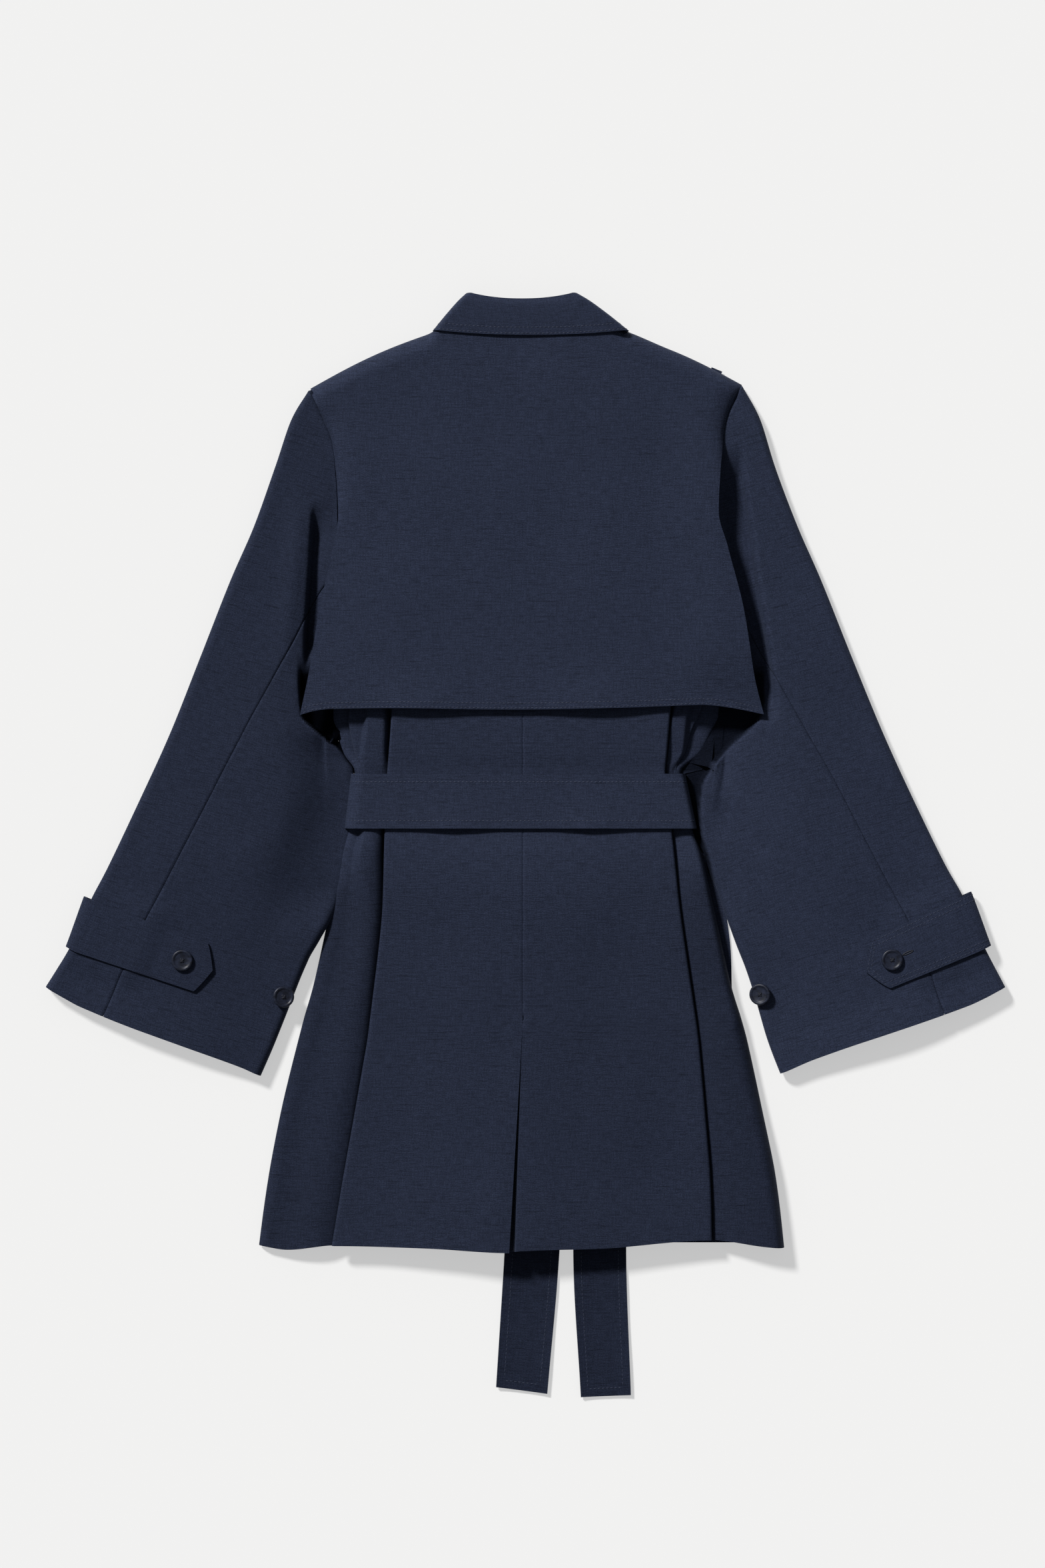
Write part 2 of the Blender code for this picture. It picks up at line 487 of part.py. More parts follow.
def edge_frame(row):
    """Both edges of the flat sleeve, the way in from each, and the folds' inset."""
    outer = np.concatenate([row.outer, row.outer_y], axis=1)
    inner = np.concatenate([row.inner, row.inner_y], axis=1)
    along_outer = unit(np.gradient(outer, axis=0))
    along_inner = unit(np.gradient(inner, axis=0))
    way_outer = np.stack([along_outer[:, 1], -along_outer[:, 0]], axis=1)
    sewn = np.clip(row.bow, 0.0, 1.0)
    way_outer = unit(way_outer * (1.0 - sewn) + SHOULDER_TURN * sewn)
    way_inner = np.stack([-along_inner[:, 1], along_inner[:, 0]], axis=1)
    return outer, inner, way_outer, way_inner, row.edge + HALF


def sleeve_length(row):
    """Width of the flat sleeve from its outer to its inner edge."""
    outer, inner, way_outer, way_inner, inset = edge_frame(row)
    between = inner + way_inner * inset - outer - way_outer * inset
    return np.linalg.norm(between, axis=1, keepdims=True) + 2 * inset


def sleeve_floor(row, reach):
    """Height of the sleeve's lower layer, raised over the strap."""
    return HALF + row.lift * (1.0 - ease((reach - STRAP_UNDER - 6.0) / 20.0))


def sleeve_top(row, reach):
    """Height of the sleeve's upper layer at a distance from its outer edge."""
    start = row.edge + HALF
    share = np.clip((reach - start) / (sleeve_length(row) - 2 * start), 0.0, 1.0)
    crown = row.crown * np.sin(math.pi * share) ** 0.8
    hollow = row.dip * ease((share - 0.22) / 0.25) * (1.0 - ease((share - 0.8) / 0.2))
    return sleeve_floor(row, reach) + 2 * row.edge + crown - hollow


def sleeve_place(side, row, reach, z):
    """Points of a sleeve from their distance to its outer edge and their height."""
    outer, inner, way_outer, way_inner, inset = edge_frame(row)
    length = sleeve_length(row)
    start = outer + way_outer * inset
    chord = inner + way_inner * inset - start
    share = np.clip((reach - inset) / (length - 2 * inset), 0.0, 1.0)
    inward = unit(np.stack([chord[:, 1], -chord[:, 0]], axis=1))
    bulge = row.bow * armhole_bulge(side, share)
    flat = start[:, None, :] + chord[:, None, :] * share[..., None] + inward[:, None, :] * bulge[..., None]
    short = np.minimum(reach - inset, 0.0)[..., None]
    past = np.maximum(reach - length + inset, 0.0)[..., None]
    plan = flat + way_outer[:, None, :] * short - way_inner[:, None, :] * past
    sunk = 1.0 - POCKET_DEPTH * pocket_share(side, plan[..., 0], plan[..., 1])
    return place(side, plan[..., 0], plan[..., 1], HALF + (z - HALF) * sunk)


def sleeve_across(side, way, lean):
    """Directions across a sleeve's wall: down, round its edge fold, and up."""
    flat = -way[:, None, :] * np.cos(lean)[..., None]
    return place(side, flat[..., 0], flat[..., 1], np.sin(lean))


def top_sleeve(side, rows):
    """The outer part of a sleeve: from the lower seam round the outer edge to the back seam."""
    row = sampled(rows, np.arange(len(rows)))
    length = sleeve_length(row)
    start = row.edge + HALF
    seam = row.seam * length - SEAM / 2 * (1.0 + 3.0 * np.clip(row.bow, 0.0, 1.0))
    below = seam + (start - seam) * np.linspace(0, 1, 5)[None, :-1]
    bend = np.radians(np.linspace(-90, 90, 7))[None, :]
    bend_reach = HALF + row.edge * (1 - np.cos(bend))
    bend_z = sleeve_floor(row, 0.0) + row.edge * (1 + np.sin(bend))
    above = start + (seam - start) * np.linspace(0, 1, 6)[None, 1:]
    reach = np.concatenate([below, bend_reach, above], axis=1)
    z = np.concatenate([sleeve_floor(row, below), bend_z, sleeve_top(row, above)], axis=1)
    lean = np.concatenate([np.full((1, 4), -math.pi / 2), bend, np.full((1, 5), math.pi / 2)], axis=1)
    return sleeve_place(side, row, reach, z), sleeve_across(side, edge_frame(row)[2], lean)


def under_sleeve(side, rows):
    """The inner part of a sleeve: from the back seam round the inner edge to the lower seam."""
    row = sampled(rows, np.arange(len(rows)))
    length = sleeve_length(row)
    end = length - row.edge - HALF
    seam = row.seam * length + SEAM / 2 * (1.0 + 3.0 * np.clip(row.bow, 0.0, 1.0))
    above = seam + (end - seam) * np.linspace(0, 1, 9)[None, :-1]
    bend = np.radians(np.linspace(90, -90, 7))[None, :]
    bend_reach = length - HALF - row.edge * (1 - np.cos(bend))
    bend_z = HALF + row.edge * (1 + np.sin(bend))
    below = end + (seam - end) * np.linspace(0, 1, 6)[None, 1:]
    reach = np.concatenate([above, bend_reach, below], axis=1)
    z = np.concatenate([sleeve_top(row, above), bend_z, sleeve_floor(row, below)], axis=1)
    lean = np.concatenate([np.full((1, 8), math.pi / 2), bend, np.full((1, 5), -math.pi / 2)], axis=1)
    return sleeve_place(side, row, reach, z), sleeve_across(side, edge_frame(row)[3], lean)


def cuff_strap(side, rows, ends):
    """A pointed strap made from the sleeve's points, moved out, and wrapped round its outer edge."""
    across = np.linspace(0, 1, 5)[:, None]
    row = sampled(rows, np.linspace(STRAP_FROM, STRAP_TO, 5))
    end = np.where(across < 0.5, ends.upper + (ends.tip - ends.upper) * across * 2,
                   ends.tip + (ends.lower - ends.tip) * (across * 2 - 1))
    below = STRAP_UNDER + (STRAP_BEND - STRAP_UNDER) * np.linspace(0, 1, 4)[None, :-1] + 0 * across
    low = HALF + 0 * across
    high = sleeve_top(row, STRAP_BEND + 0 * across) + CLOTH + 1.0
    stand = ends.stand_upper + (ends.stand_lower - ends.stand_upper) * across
    bend = np.radians(np.linspace(-90, 90, 9))[None, :]
    bend_reach = STRAP_BEND - (STRAP_BEND + stand) * np.maximum(np.cos(bend), 0.0) ** 0.75
    bend_z = (low + high) / 2 + (high - low) / 2 * np.sign(bend) * np.abs(np.sin(bend)) ** 0.75
    above = STRAP_BEND + (end - STRAP_BEND) * np.linspace(0, 1, 9)[None, 1:]
    reach = np.concatenate([below, bend_reach, above], axis=1)
    z = np.concatenate([low + 0 * below, bend_z, sleeve_top(row, above) + CLOTH + 1.0], axis=1)
    return sleeve_place(side, row, reach, z)


def button(name, centre, tilt):
    """A turned button with a raised rim, set down at a point and leaned about Y."""
    profile = [(7.6, 0.0), (BUTTON_RADIUS, 1.2), (BUTTON_RADIUS, 2.4), (8.5, 3.3), (7.2, 3.3), (6.2, 2.5)]
    sides = 24
    turn = np.linspace(0, 2 * math.pi, sides, endpoint=False)
    rings = [np.stack([r * np.cos(turn), r * np.sin(turn), 0 * turn + h], -1) for r, h in profile]
    ends = np.array([[0, 0, profile[0][1]], [0, 0, profile[-1][1]]])
    points = np.concatenate(rings + [ends])
    face = np.arange(len(profile) * sides).reshape(len(profile), sides)
    after = np.roll(face, -1, axis=1)
    bands = two_triangles(face[:-1], after[:-1], after[1:], face[1:])
    count = len(profile) * sides
    foot = np.stack([after[0], face[0], np.full(sides, count)], -1)
    top = np.stack([face[-1], after[-1], np.full(sides, count + 1)], -1)
    made = add_object(name, points, np.concatenate([bands, foot, top]), PLASTIC, 0.35)
    made.rotation_euler = (0.0, math.radians(tilt), 0.0)
    made.location = [value * MM for value in centre]


def strap_button(name, side, rows, ends):
    """The button that holds a strap down, on the strap's outer face."""
    row = sampled(rows, (STRAP_FROM + STRAP_TO) / 2 + BESIDE)
    reach = np.full((3, 1), ends.button)
    height = sleeve_top(row, reach) + CLOTH + 1.0 + HALF + BUTTON_SEAT
    button(name, sleeve_place(side, row, reach, height)[1, 0], 0.0)


def cuff_button(name, side, rows, seat):
    """The spare button on the sleeve's inner edge, leaned with the fold."""
    row = sampled(rows, seat.row + BESIDE)
    lean = math.radians(seat.tilt)
    radius = row.edge + HALF + 2 * BUTTON_SEAT
    reach = sleeve_length(row) - seat.inset - HALF + radius * math.sin(lean)
    height = HALF + row.edge + radius * math.cos(lean)
    button(name, sleeve_place(side, row, reach, height)[1, 0], -side * seat.tilt)


def belt_band():
    """The belt from the knot round the right side, over the back and round the left side to the knot."""
    share = np.linspace(0, 1, 3)[:, None]
    y = BELT_LOW + (BELT_HIGH - BELT_LOW) * share
    right = 148.2 + (138.0 - 148.2) * share
    left = 156.4 + (150.9 - 156.4) * share
    under, over, middle = 10.0, 12.0, 5.4
    lower = np.radians(np.linspace(-90, 0, 5))[None, :]
    upper = np.radians(np.linspace(0, 90, 6))[None, 1:]

    def half(edge, knot):
        floor = knot + (edge - under - knot) * np.linspace(0, 1, 4)[None, :-1]
        out = [floor, edge - under + under * np.cos(lower), edge - over + over * np.cos(upper)]
        z = [HALF + 0 * floor, middle + (middle - HALF) * np.sin(lower) + 0 * edge,
             middle + (BELT_TOP_Z - middle) * np.sin(upper) + 0 * edge]
        return np.concatenate(out, axis=1), np.concatenate(z, axis=1)

    right_x, right_z = half(right, KNOT_X + KNOT_WIDTH / 2 + SEAM)
    left_x, left_z = half(left, -KNOT_X + KNOT_WIDTH / 2 + SEAM)
    top = np.linspace(0, 1, 10)[None, 1:-1]
    top_x = (right - over) + (-(left - over) - (right - over)) * top
    top_z = BELT_TOP_Z + 0.8 * np.sin(math.pi * top) + 0 * share
    x = np.concatenate([right_x, top_x, -left_x[:, ::-1]], axis=1)
    z = np.concatenate([right_z, top_z, left_z[:, ::-1]], axis=1)
    return place(RIGHT, x, y, z)


def belt_knot():
    """The knot on the surface side, as a plain flat pad between the belt's ends and its tails."""
    share = np.linspace(-1, 1, 5)
    x = KNOT_X + share[None, :] * KNOT_WIDTH / 2
    y = (BELT_LOW + BELT_HIGH) / 2 + share[:, None] * (BELT_HIGH - BELT_LOW) / 2
    return place(RIGHT, x, y, KNOT_HEIGHT / 2 + 0 * x * y)


def belt_tail(rows):
    """A free end of the belt lying on the surface."""
    row = sampled(rows, np.linspace(0, len(rows) - 1, 2 * len(rows) - 1))
    across = np.linspace(0, 1, 3)[None, :]
    x = row.left + (row.right - row.left) * across
    y = row.left_y + (row.right_y - row.left_y) * across
    return place(RIGHT, x, y, HALF + 0 * x)


def collar_ring(rows, steps):
    """A flattened ring round the neck, open at the centre front, that lies on its own front."""
    row = sampled(rows, np.linspace(0, len(rows) - 1, steps))
    bend = np.radians(np.linspace(-90, 90, 9))[None, :]

    def half(edge):
        front = COLLAR_OPEN + (edge - COLLAR_CURL - COLLAR_OPEN) * np.linspace(0, 1, 7)[None, :-1]
        out = np.concatenate([front, edge - COLLAR_CURL + COLLAR_CURL * np.cos(bend)], axis=1)
        drop = (row.end_y - row.front_y) * ease((edge - COLLAR_CURL - front) / row.spread)
        y = np.concatenate([row.end_y - drop, row.end_y + 0 * edge + 0 * bend], axis=1)
        middle = (row.top_z + row.floor_z) / 2
        z = np.concatenate([row.floor_z + 0 * front,
                            middle + (row.top_z - row.floor_z) / 2 * np.sin(bend)], axis=1)
        return out, y, z

    right_x, right_y, right_z = half(row.right)
    left_x, left_y, left_z = half(row.left)
    top = np.linspace(0, 1, 9)[None, 1:-1]
    top_x = (row.right - COLLAR_CURL) + (-(row.left - COLLAR_CURL) - (row.right - COLLAR_CURL)) * top
    top_y = row.back_y + (row.end_y - row.back_y) * np.abs(2 * top - 1) ** 2.2
    top_z = row.top_z + 0 * top
    x = np.concatenate([right_x, top_x, -left_x[:, ::-1]], axis=1)
    y = np.concatenate([right_y, top_y, left_y[:, ::-1]], axis=1)
    z = np.concatenate([right_z, top_z, left_z[:, ::-1]], axis=1)
    return place(RIGHT, x, y, z)


def shoulder_loop():
    """The small loop that stands out between front and flap at the right shoulder."""
    slope = math.atan(SHOULDER_FALL)
    across = np.linspace(-0.5, 0.5, 3)[None, :] * LOOP_WIDTH
    along = np.linspace(-0.5, 0.5, 4)[:, None] * LOOP_LENGTH
    x = LOOP_X + across * math.cos(slope) + along * math.sin(slope)
    y = LOOP_Y - across * math.sin(slope) + along * math.cos(slope)
    return place(RIGHT, x, y, CLOTH + SEAM + 0.55 + 0 * x)


def main():
    """Build every piece of the jacket."""
    for old in list(bpy.data.objects):
        bpy.data.objects.remove(old)
    wall("back_left", back_panel(LEFT, BACK_LEFT, np.arange(len(BACK_LEFT))))
    wall("back_right", back_panel(RIGHT, BACK_RIGHT, np.arange(len(BACK_RIGHT))))
    wall("storm_flap", storm_flap())
    wall("front_left", front_panel(LEFT))
    wall("front_right", front_panel(RIGHT))
    wall("collar_fall", collar_ring(COLLAR_FALL, 6))
    wall("collar_stand", collar_ring(COLLAR_STAND, 3))
    sides = [("left", LEFT, SLEEVE_LEFT, STRAP_LEFT, CUFF_BUTTON_LEFT),
             ("right", RIGHT, SLEEVE_RIGHT, STRAP_RIGHT, CUFF_BUTTON_RIGHT)]
    for word, side, sleeve, strap, seat in sides:
        grid, across = top_sleeve(side, sleeve)
        wall("top_sleeve_" + word, grid, CLOTH, across)
        grid, across = under_sleeve(side, sleeve)
        wall("under_sleeve_" + word, grid, CLOTH, across)
        wall("cuff_strap_" + word, cuff_strap(side, sleeve, strap))
        strap_button("strap_button_" + word, side, sleeve, strap)
        cuff_button("cuff_button_" + word, side, sleeve, seat)
    wall("belt_band", belt_band())
    wall("belt_knot", belt_knot(), KNOT_HEIGHT)
    wall("belt_tail_left", belt_tail(TAIL_LEFT))
    wall("belt_tail_right", belt_tail(TAIL_RIGHT))
    wall("shoulder_loop", shoulder_loop(), 1.1)


main()
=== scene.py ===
"""Looks of a short navy wool trench jacket laid face down on a pale surface.

X runs across the jacket, Y from hem to collar and Z up.  Sizes are in millimetres until a mesh is made.
Every cloth piece is a middle surface worked out on a fine grid of rows and columns, made into a closed
wall.  `out` is the distance from the centre line, so that one formula serves both sides.
"""
import enum
import logging
import math
from abc import ABC, abstractmethod
from dataclasses import dataclass, field
from typing import NamedTuple, Sequence, TypeVar

import bpy
import numpy as np
import numpy.typing as npt
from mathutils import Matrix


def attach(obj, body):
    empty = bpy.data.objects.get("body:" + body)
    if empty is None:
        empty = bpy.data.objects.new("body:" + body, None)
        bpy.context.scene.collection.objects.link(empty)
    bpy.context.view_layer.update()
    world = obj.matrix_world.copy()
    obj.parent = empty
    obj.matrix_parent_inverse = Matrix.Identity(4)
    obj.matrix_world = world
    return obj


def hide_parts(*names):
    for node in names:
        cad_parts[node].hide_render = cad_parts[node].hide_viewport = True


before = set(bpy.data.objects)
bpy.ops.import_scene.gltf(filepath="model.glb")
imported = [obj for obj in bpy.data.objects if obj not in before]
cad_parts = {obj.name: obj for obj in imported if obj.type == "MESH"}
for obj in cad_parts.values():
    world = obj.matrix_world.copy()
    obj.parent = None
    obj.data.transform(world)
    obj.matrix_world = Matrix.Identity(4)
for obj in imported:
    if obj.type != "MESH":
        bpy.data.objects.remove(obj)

Array = npt.NDArray[np.float64]
Color = tuple[float, float, float, float]
Point = tuple[float, float]
Row = TypeVar("Row", bound=tuple)
Socket = bpy.types.NodeSocket

log = logging.getLogger("jacket")

MM = 0.001
CLOTH = 1.5
HALF = CLOTH / 2
SEAM = 0.3
LAYER = 1.9
NECK_HALF = 76.0
SHOULDER_FALL = {-1: 0.454, 1: 0.419}
SHOULDER_BOW = {-1: 4.0, 1: 4.6}
SHOULDER_WIDTH = 112.0
SHOULDER_ROLL = 14.0
SHOULDER_EDGE = 4.4
NECK_RISE = 3.6
NECK_RISE_FROM = 40.0
NECK_RISE_OVER = 50.0
STRAP_RISE = CLOTH + 1.0
STRAP_MIDDLE = 9.5
SEWN_IN = 7.0


class Side(enum.IntEnum):
    """The two sides of the jacket as it lies."""

    LEFT = -1
    RIGHT = 1


class Held(enum.Enum):
    """How a sheet of cloth lies."""

    LAID = "laid"
    FOLDED = "folded"


class Slot(enum.Enum):
    """Material slots of the record."""

    WOOL = "wool"
    BUTTON = "button"


class BackRow(NamedTuple):
    """One section across a back panel, from the side to the centre seam."""

    y: float
    lean: float
    side: float
    side_z: float
    curl: float
    fold: float
    turn: float
    reach: float
    bend: float
    fold_z: float
    mid_z: float
    groove: float
    depth: float
    crown: float
    panel: float = 0.0


class FlapRow(NamedTuple):
    """One section across the storm flap."""

    y: float
    lean: float
    left: float
    right: float
    side_z: float
    mid_z: float


class SleeveRow(NamedTuple):
    """One section across a flat sleeve, from its outer to its inner edge."""

    outer: float
    outer_y: float
    inner: float
    inner_y: float
    bow: float
    edge: float
    crown: float
    dip: float
    lift: float
    seam: float


class FrontRow(NamedTuple):
    """One section across a front panel."""

    y: float
    lean: float
    left: float
    right: float
    side_lift: float
    mid_lift: float


class CollarRow(NamedTuple):
    """One ring of the collar, from its roll line to its lower edge."""

    left: float
    right: float
    back_y: float
    end_y: float
    front_y: float
    top_z: float
    floor_z: float
    spread: float


class TailRow(NamedTuple):
    """One section across a free end of the belt."""

    left: float
    left_y: float
    right: float
    right_y: float


class StrapEnds(NamedTuple):
    """Reach of a cuff strap's pointed end and how far it stands off the sleeve's edge."""

    upper: float
    tip: float
    lower: float
    stand_upper: float
    stand_lower: float
    button: float


class ButtonSeat(NamedTuple):
    """Place of a spare button on the sleeve's inner edge."""

    row: float
    inset: float
    tilt: float


def ease(t: Array) -> Array:
    """Smooth step from 0 to 1: three squares less two cubes of the clipped share."""
    t = np.clip(t, 0.0, 1.0)
    return t * t * (3.0 - 2.0 * t)


def unit(vectors: Array) -> Array:
    """Vectors divided by their length."""
    return vectors / np.maximum(np.linalg.norm(vectors, axis=-1, keepdims=True), 1e-9)


def pressed(distance: Array, width: float = 2.6, depth: float = 0.7) -> Array:
    """Fall of cloth beside a pressed seam: depth times the squared share of the width that is left."""
    return depth * np.clip(1.0 - distance / width, 0.0, 1.0) ** 2


def flow(keys: Sequence[float] | Array, values: Sequence[float] | Array, at: Array) -> Array:
    """Smooth curve through a table: cubic pieces whose slopes are harmonic means, so none overshoots.

    Args:
        keys: rising places of the table.
        values: the table's values at those places.
        at: places to read.

    Returns:
        The curve's values, held at both ends.
    """
    keys = np.asarray(keys, float)
    values = np.asarray(values, float)
    step = np.diff(keys)
    rate = np.diff(values) / step
    same = rate[:-1] * rate[1:]
    total = np.where(same > 0, rate[:-1] + rate[1:], 1.0)
    slope = np.concatenate([rate[:1], np.where(same > 0, 2.0 * same / total, 0.0), rate[-1:]])
    i = np.clip(np.searchsorted(keys, at, side="right") - 1, 0, len(keys) - 2)
    t = (np.clip(at, keys[0], keys[-1]) - keys[i]) / step[i]
    start = values[i] * (1 + 2 * t) * (1 - t) ** 2 + slope[i] * step[i] * t * (1 - t) ** 2
    end = values[i + 1] * t * t * (3 - 2 * t) - slope[i + 1] * step[i] * t * t * (1 - t)
    return start + end


def through(points: Sequence[Point], at: Array) -> Array:
    """Smooth curve through (place, value) points."""
    return flow([p[0] for p in points], [p[1] for p in points], at)


def sample(rows: Sequence[Row], at: Array) -> Row:
    """The table's columns read at places counted in rows.

    Args:
        rows: the table.
        at: places, 0 for the first row.

    Returns:
        One row whose fields are columns of numbers.
    """
    index = np.arange(len(rows))
    return type(rows[0])(*(flow(index, column, at)[:, None] for column in zip(*rows)))


def even_rows(rows: Sequence[Row], count: int) -> Array:
    """Places in a table, counted in rows, that split its first field evenly.

    Args:
        rows: the table.
        count: how many places.

    Returns:
        The places, 0 for the first row.
    """
    first = np.array([row[0] for row in rows])
    fine = np.linspace(0, len(rows) - 1, 40 * len(rows))
    wanted = np.linspace(first[0], first[-1], count)
    return np.interp(wanted, flow(np.arange(len(rows)), first, fine), fine)


def tangents(grid: Array, axis: int) -> Array:
    """Directions along one way of a grid, halving the angle at each point.

    Args:
        grid: the surface.
        axis: 0 down the columns, 1 along the rows.

    Returns:
        Unit directions.
    """
    step = unit(np.diff(grid, axis=axis))
    before = np.concatenate([np.take(step, [0], axis=axis), step], axis=axis)
    after = np.concatenate([step, np.take(step, [-1], axis=axis)], axis=axis)
    return unit(before + after)


def normals(grid: Array) -> Array:
    """Directions across the cloth: the cross product of the two ways of the grid."""
    return unit(np.cross(tangents(grid, 1), tangents(grid, 0)))


def place(side: float, out: Array, y: Array, z: Array) -> Array:
    """Points of one side from their distance to the centre line, as a grid of triples."""
    return np.stack(np.broadcast_arrays(side * out, y, z), axis=-1).astype(float)


def shoulder_drop(x: Array) -> Array:
    """Fall of the shoulder line: a straight slope outside the neck point, less half a sine wave, and on
    the right less a smooth rise beside the collar.

    Args:
        x: places across the jacket.

    Returns:
        How far the line lies below its height at the neck.
    """
    past = np.maximum(np.abs(x) - NECK_HALF, 0.0)
    fall = np.where(x < 0, SHOULDER_FALL[-1], SHOULDER_FALL[1])
    bow = np.where(x < 0, SHOULDER_BOW[-1], SHOULDER_BOW[1])
    near = ease((x - NECK_RISE_FROM) / (NECK_HALF - NECK_RISE_FROM)) * (1.0 - ease(past / NECK_RISE_OVER))
    rise = np.where(x < 0, 0.0, NECK_RISE) * near
    return past * fall - bow * np.sin(math.pi * np.minimum(past / SHOULDER_WIDTH, 1.0)) - rise


def shoulder_rolled(x: Array, y: Array, z: Array, top: float) -> Array:
    """Heights rounded down to the shoulder edge along a quarter circle.

    Args:
        x: places across the jacket.
        y: places along the jacket.
        z: heights before rounding.
        top: place of the shoulder line at the neck.

    Returns:
        The rounded heights.
    """
    below = np.clip((top - shoulder_drop(x) - y) * 0.9 / SHOULDER_ROLL, 0.0, 1.0)
    rolled = SHOULDER_EDGE + (z - SHOULDER_EDGE) * np.sqrt(1.0 - (1.0 - below) ** 2)
    return z + (rolled - z) * ease((np.abs(x) - NECK_HALF + 2.0) / 12.0)


def unevenness(x: Array, y: Array, size: float) -> Array:
    """Soft waviness of handled cloth: a sum of five slow sine waves in fixed directions, in mm."""
    waves = ((0.051, 0.012, 0.3), (0.019, 0.043, 1.9), (-0.034, 0.029, 4.1),
             (0.083, -0.021, 2.2), (0.012, 0.071, 5.2))
    return size * sum(np.sin(a * x + b * y + c) for a, b, c in waves) / 2.2


@dataclass(frozen=True)
class Crease:
    """A soft trough, or with a depth below 0 a ridge, along a path seen from above."""

    path: tuple[Point, ...]
    width: float
    depth: float
    fade: float = 0.2
    steep: float = 1.0

    def fall(self, x: Array, y: Array) -> Array:
        """Depth times a bell of the distance to the path, wider on one side by the factor steep, faded at
        its ends and uneven along it.

        Args:
            x: places across.
            y: places along.

        Returns:
            How far the cloth falls at each place.
        """
        points = np.array(self.path)
        steps = np.hypot(*np.diff(points, axis=0).T)
        done = np.concatenate([[0.0], np.cumsum(steps)])
        near = np.full(np.shape(x), 1e9)
        along = np.zeros(np.shape(x))
        left = np.zeros(np.shape(x), bool)
        for a, b, length, start in zip(points[:-1], points[1:], steps, done):
            t = np.clip(((x - a[0]) * (b[0] - a[0]) + (y - a[1]) * (b[1] - a[1])) / length ** 2, 0.0, 1.0)
            away = np.hypot(x - a[0] - t * (b[0] - a[0]), y - a[1] - t * (b[1] - a[1]))
            closer = away < near
            near = np.where(closer, away, near)
            turned = (b[0] - a[0]) * (y - a[1]) - (b[1] - a[1]) * (x - a[0])
            left = np.where(closer, turned < 0, left)
            along = np.where(closer, (start + t * length) / done[-1], along)
        ends = ease(along / self.fade) * ease((1.0 - along) / self.fade)
        uneven = 1.0 + 0.18 * np.sin(9.0 * along + 0.07 * points[0, 0])
        width = np.where(left, self.width * self.steep, self.width)
        return self.depth * np.exp(-(near / width) ** 2) * ends * uneven


def creased(grid: Array, creases: Sequence[Crease], share: Array | float = 1.0,
            floor: float = 3.2) -> Array:
    """A grid with creases pressed into its height, never lower than a floor.

    Args:
        grid: the middle surface.
        creases: troughs and ridges.
        share: how much of them each column takes.
        floor: the lowest height a trough may reach.

    Returns:
        The creased grid.
    """
    made = grid.copy()
    flat = np.zeros(grid.shape[:2])
    fall = sum((crease.fall(grid[..., 0], grid[..., 1]) for crease in creases), flat) * share
    lowest = np.minimum(grid[..., 2], floor)
    made[..., 2] = np.maximum(grid[..., 2] - fall, lowest)
    return made


class Nodes:
    """Adds and links the shader nodes of one material."""

    def __init__(self, name: str) -> None:
        """A new material with its Principled shader.

        Args:
            name: name of the material.
        """
        self.material = bpy.data.materials.new(name)
        self.material.use_nodes = True
        self.tree = self.material.node_tree
        self.shader = self.tree.nodes["Principled BSDF"]

    def fill(self, node: bpy.types.Node, inputs: dict[str | int, object]) -> None:
        """Sets a node's inputs; one that is given as a socket is linked.

        Args:
            node: the node.
            inputs: values or sockets by input name or number.
        """
        for key, value in inputs.items():
            if isinstance(value, Socket):
                self.tree.links.new(value, node.inputs[key])
            else:
                node.inputs[key].default_value = value

    def dress(self, inputs: dict[str | int, object]) -> bpy.types.Material:
        """The material, with these inputs on its own shader."""
        self.fill(self.shader, inputs)
        return self.material

    def add(self, kind: str, inputs: dict[str | int, object] | None = None,
            **settings: object) -> bpy.types.Node:
        """A node with its settings and inputs.

        Args:
            kind: Blender's name of the node.
            inputs: values or sockets by input name or number.
            settings: the node's own options.

        Returns:
            The node.
        """
        node = self.tree.nodes.new(kind)
        for key, value in settings.items():
            setattr(node, key, value)
        self.fill(node, inputs or {})
        return node

    def noise(self, vector: Socket, stretch: tuple[float, float, float], detail: float) -> Socket:
        """Noise on coordinates stretched by a Mapping node.

        Args:
            vector: the coordinates.
            stretch: waves in a metre each way.
            detail: how many finer layers are added.

        Returns:
            The noise, from 0 to 1.
        """
        mapped = self.add("ShaderNodeMapping", {"Vector": vector, "Scale": stretch}).outputs[0]
        noise = self.add("ShaderNodeTexNoise", {"Vector": mapped, "Scale": 1.0, "Detail": detail})
        return noise.outputs["Fac"]

    def bump(self, height: Socket, strength: float, distance: float) -> Socket:
        """A normal bent by a height."""
        inputs = {"Strength": strength, "Distance": distance, "Height": height}
        return self.add("ShaderNodeBump", inputs).outputs[0]

    def ramp(self, value: Socket, low: float, high: float, to_low: float, to_high: float) -> Socket:
        """A value carried from one range to another and held there."""
        node = self.add("ShaderNodeMapRange", {0: value, 1: low, 2: high, 3: to_low, 4: to_high})
        return node.outputs[0]

    def math(self, operation: str, a: object, b: object) -> Socket:
        """Two values joined by a Math node."""
        return self.add("ShaderNodeMath", {0: a, 1: b}, operation=operation).outputs[0]

    def mix(self, share: object, a: object, b: object, blend: str = "MIX") -> Socket:
        """Two colours mixed by a share."""
        node = self.add("ShaderNodeMix", {0: share, 6: a, 7: b}, data_type="RGBA", blend_type=blend)
        return node.outputs[2]


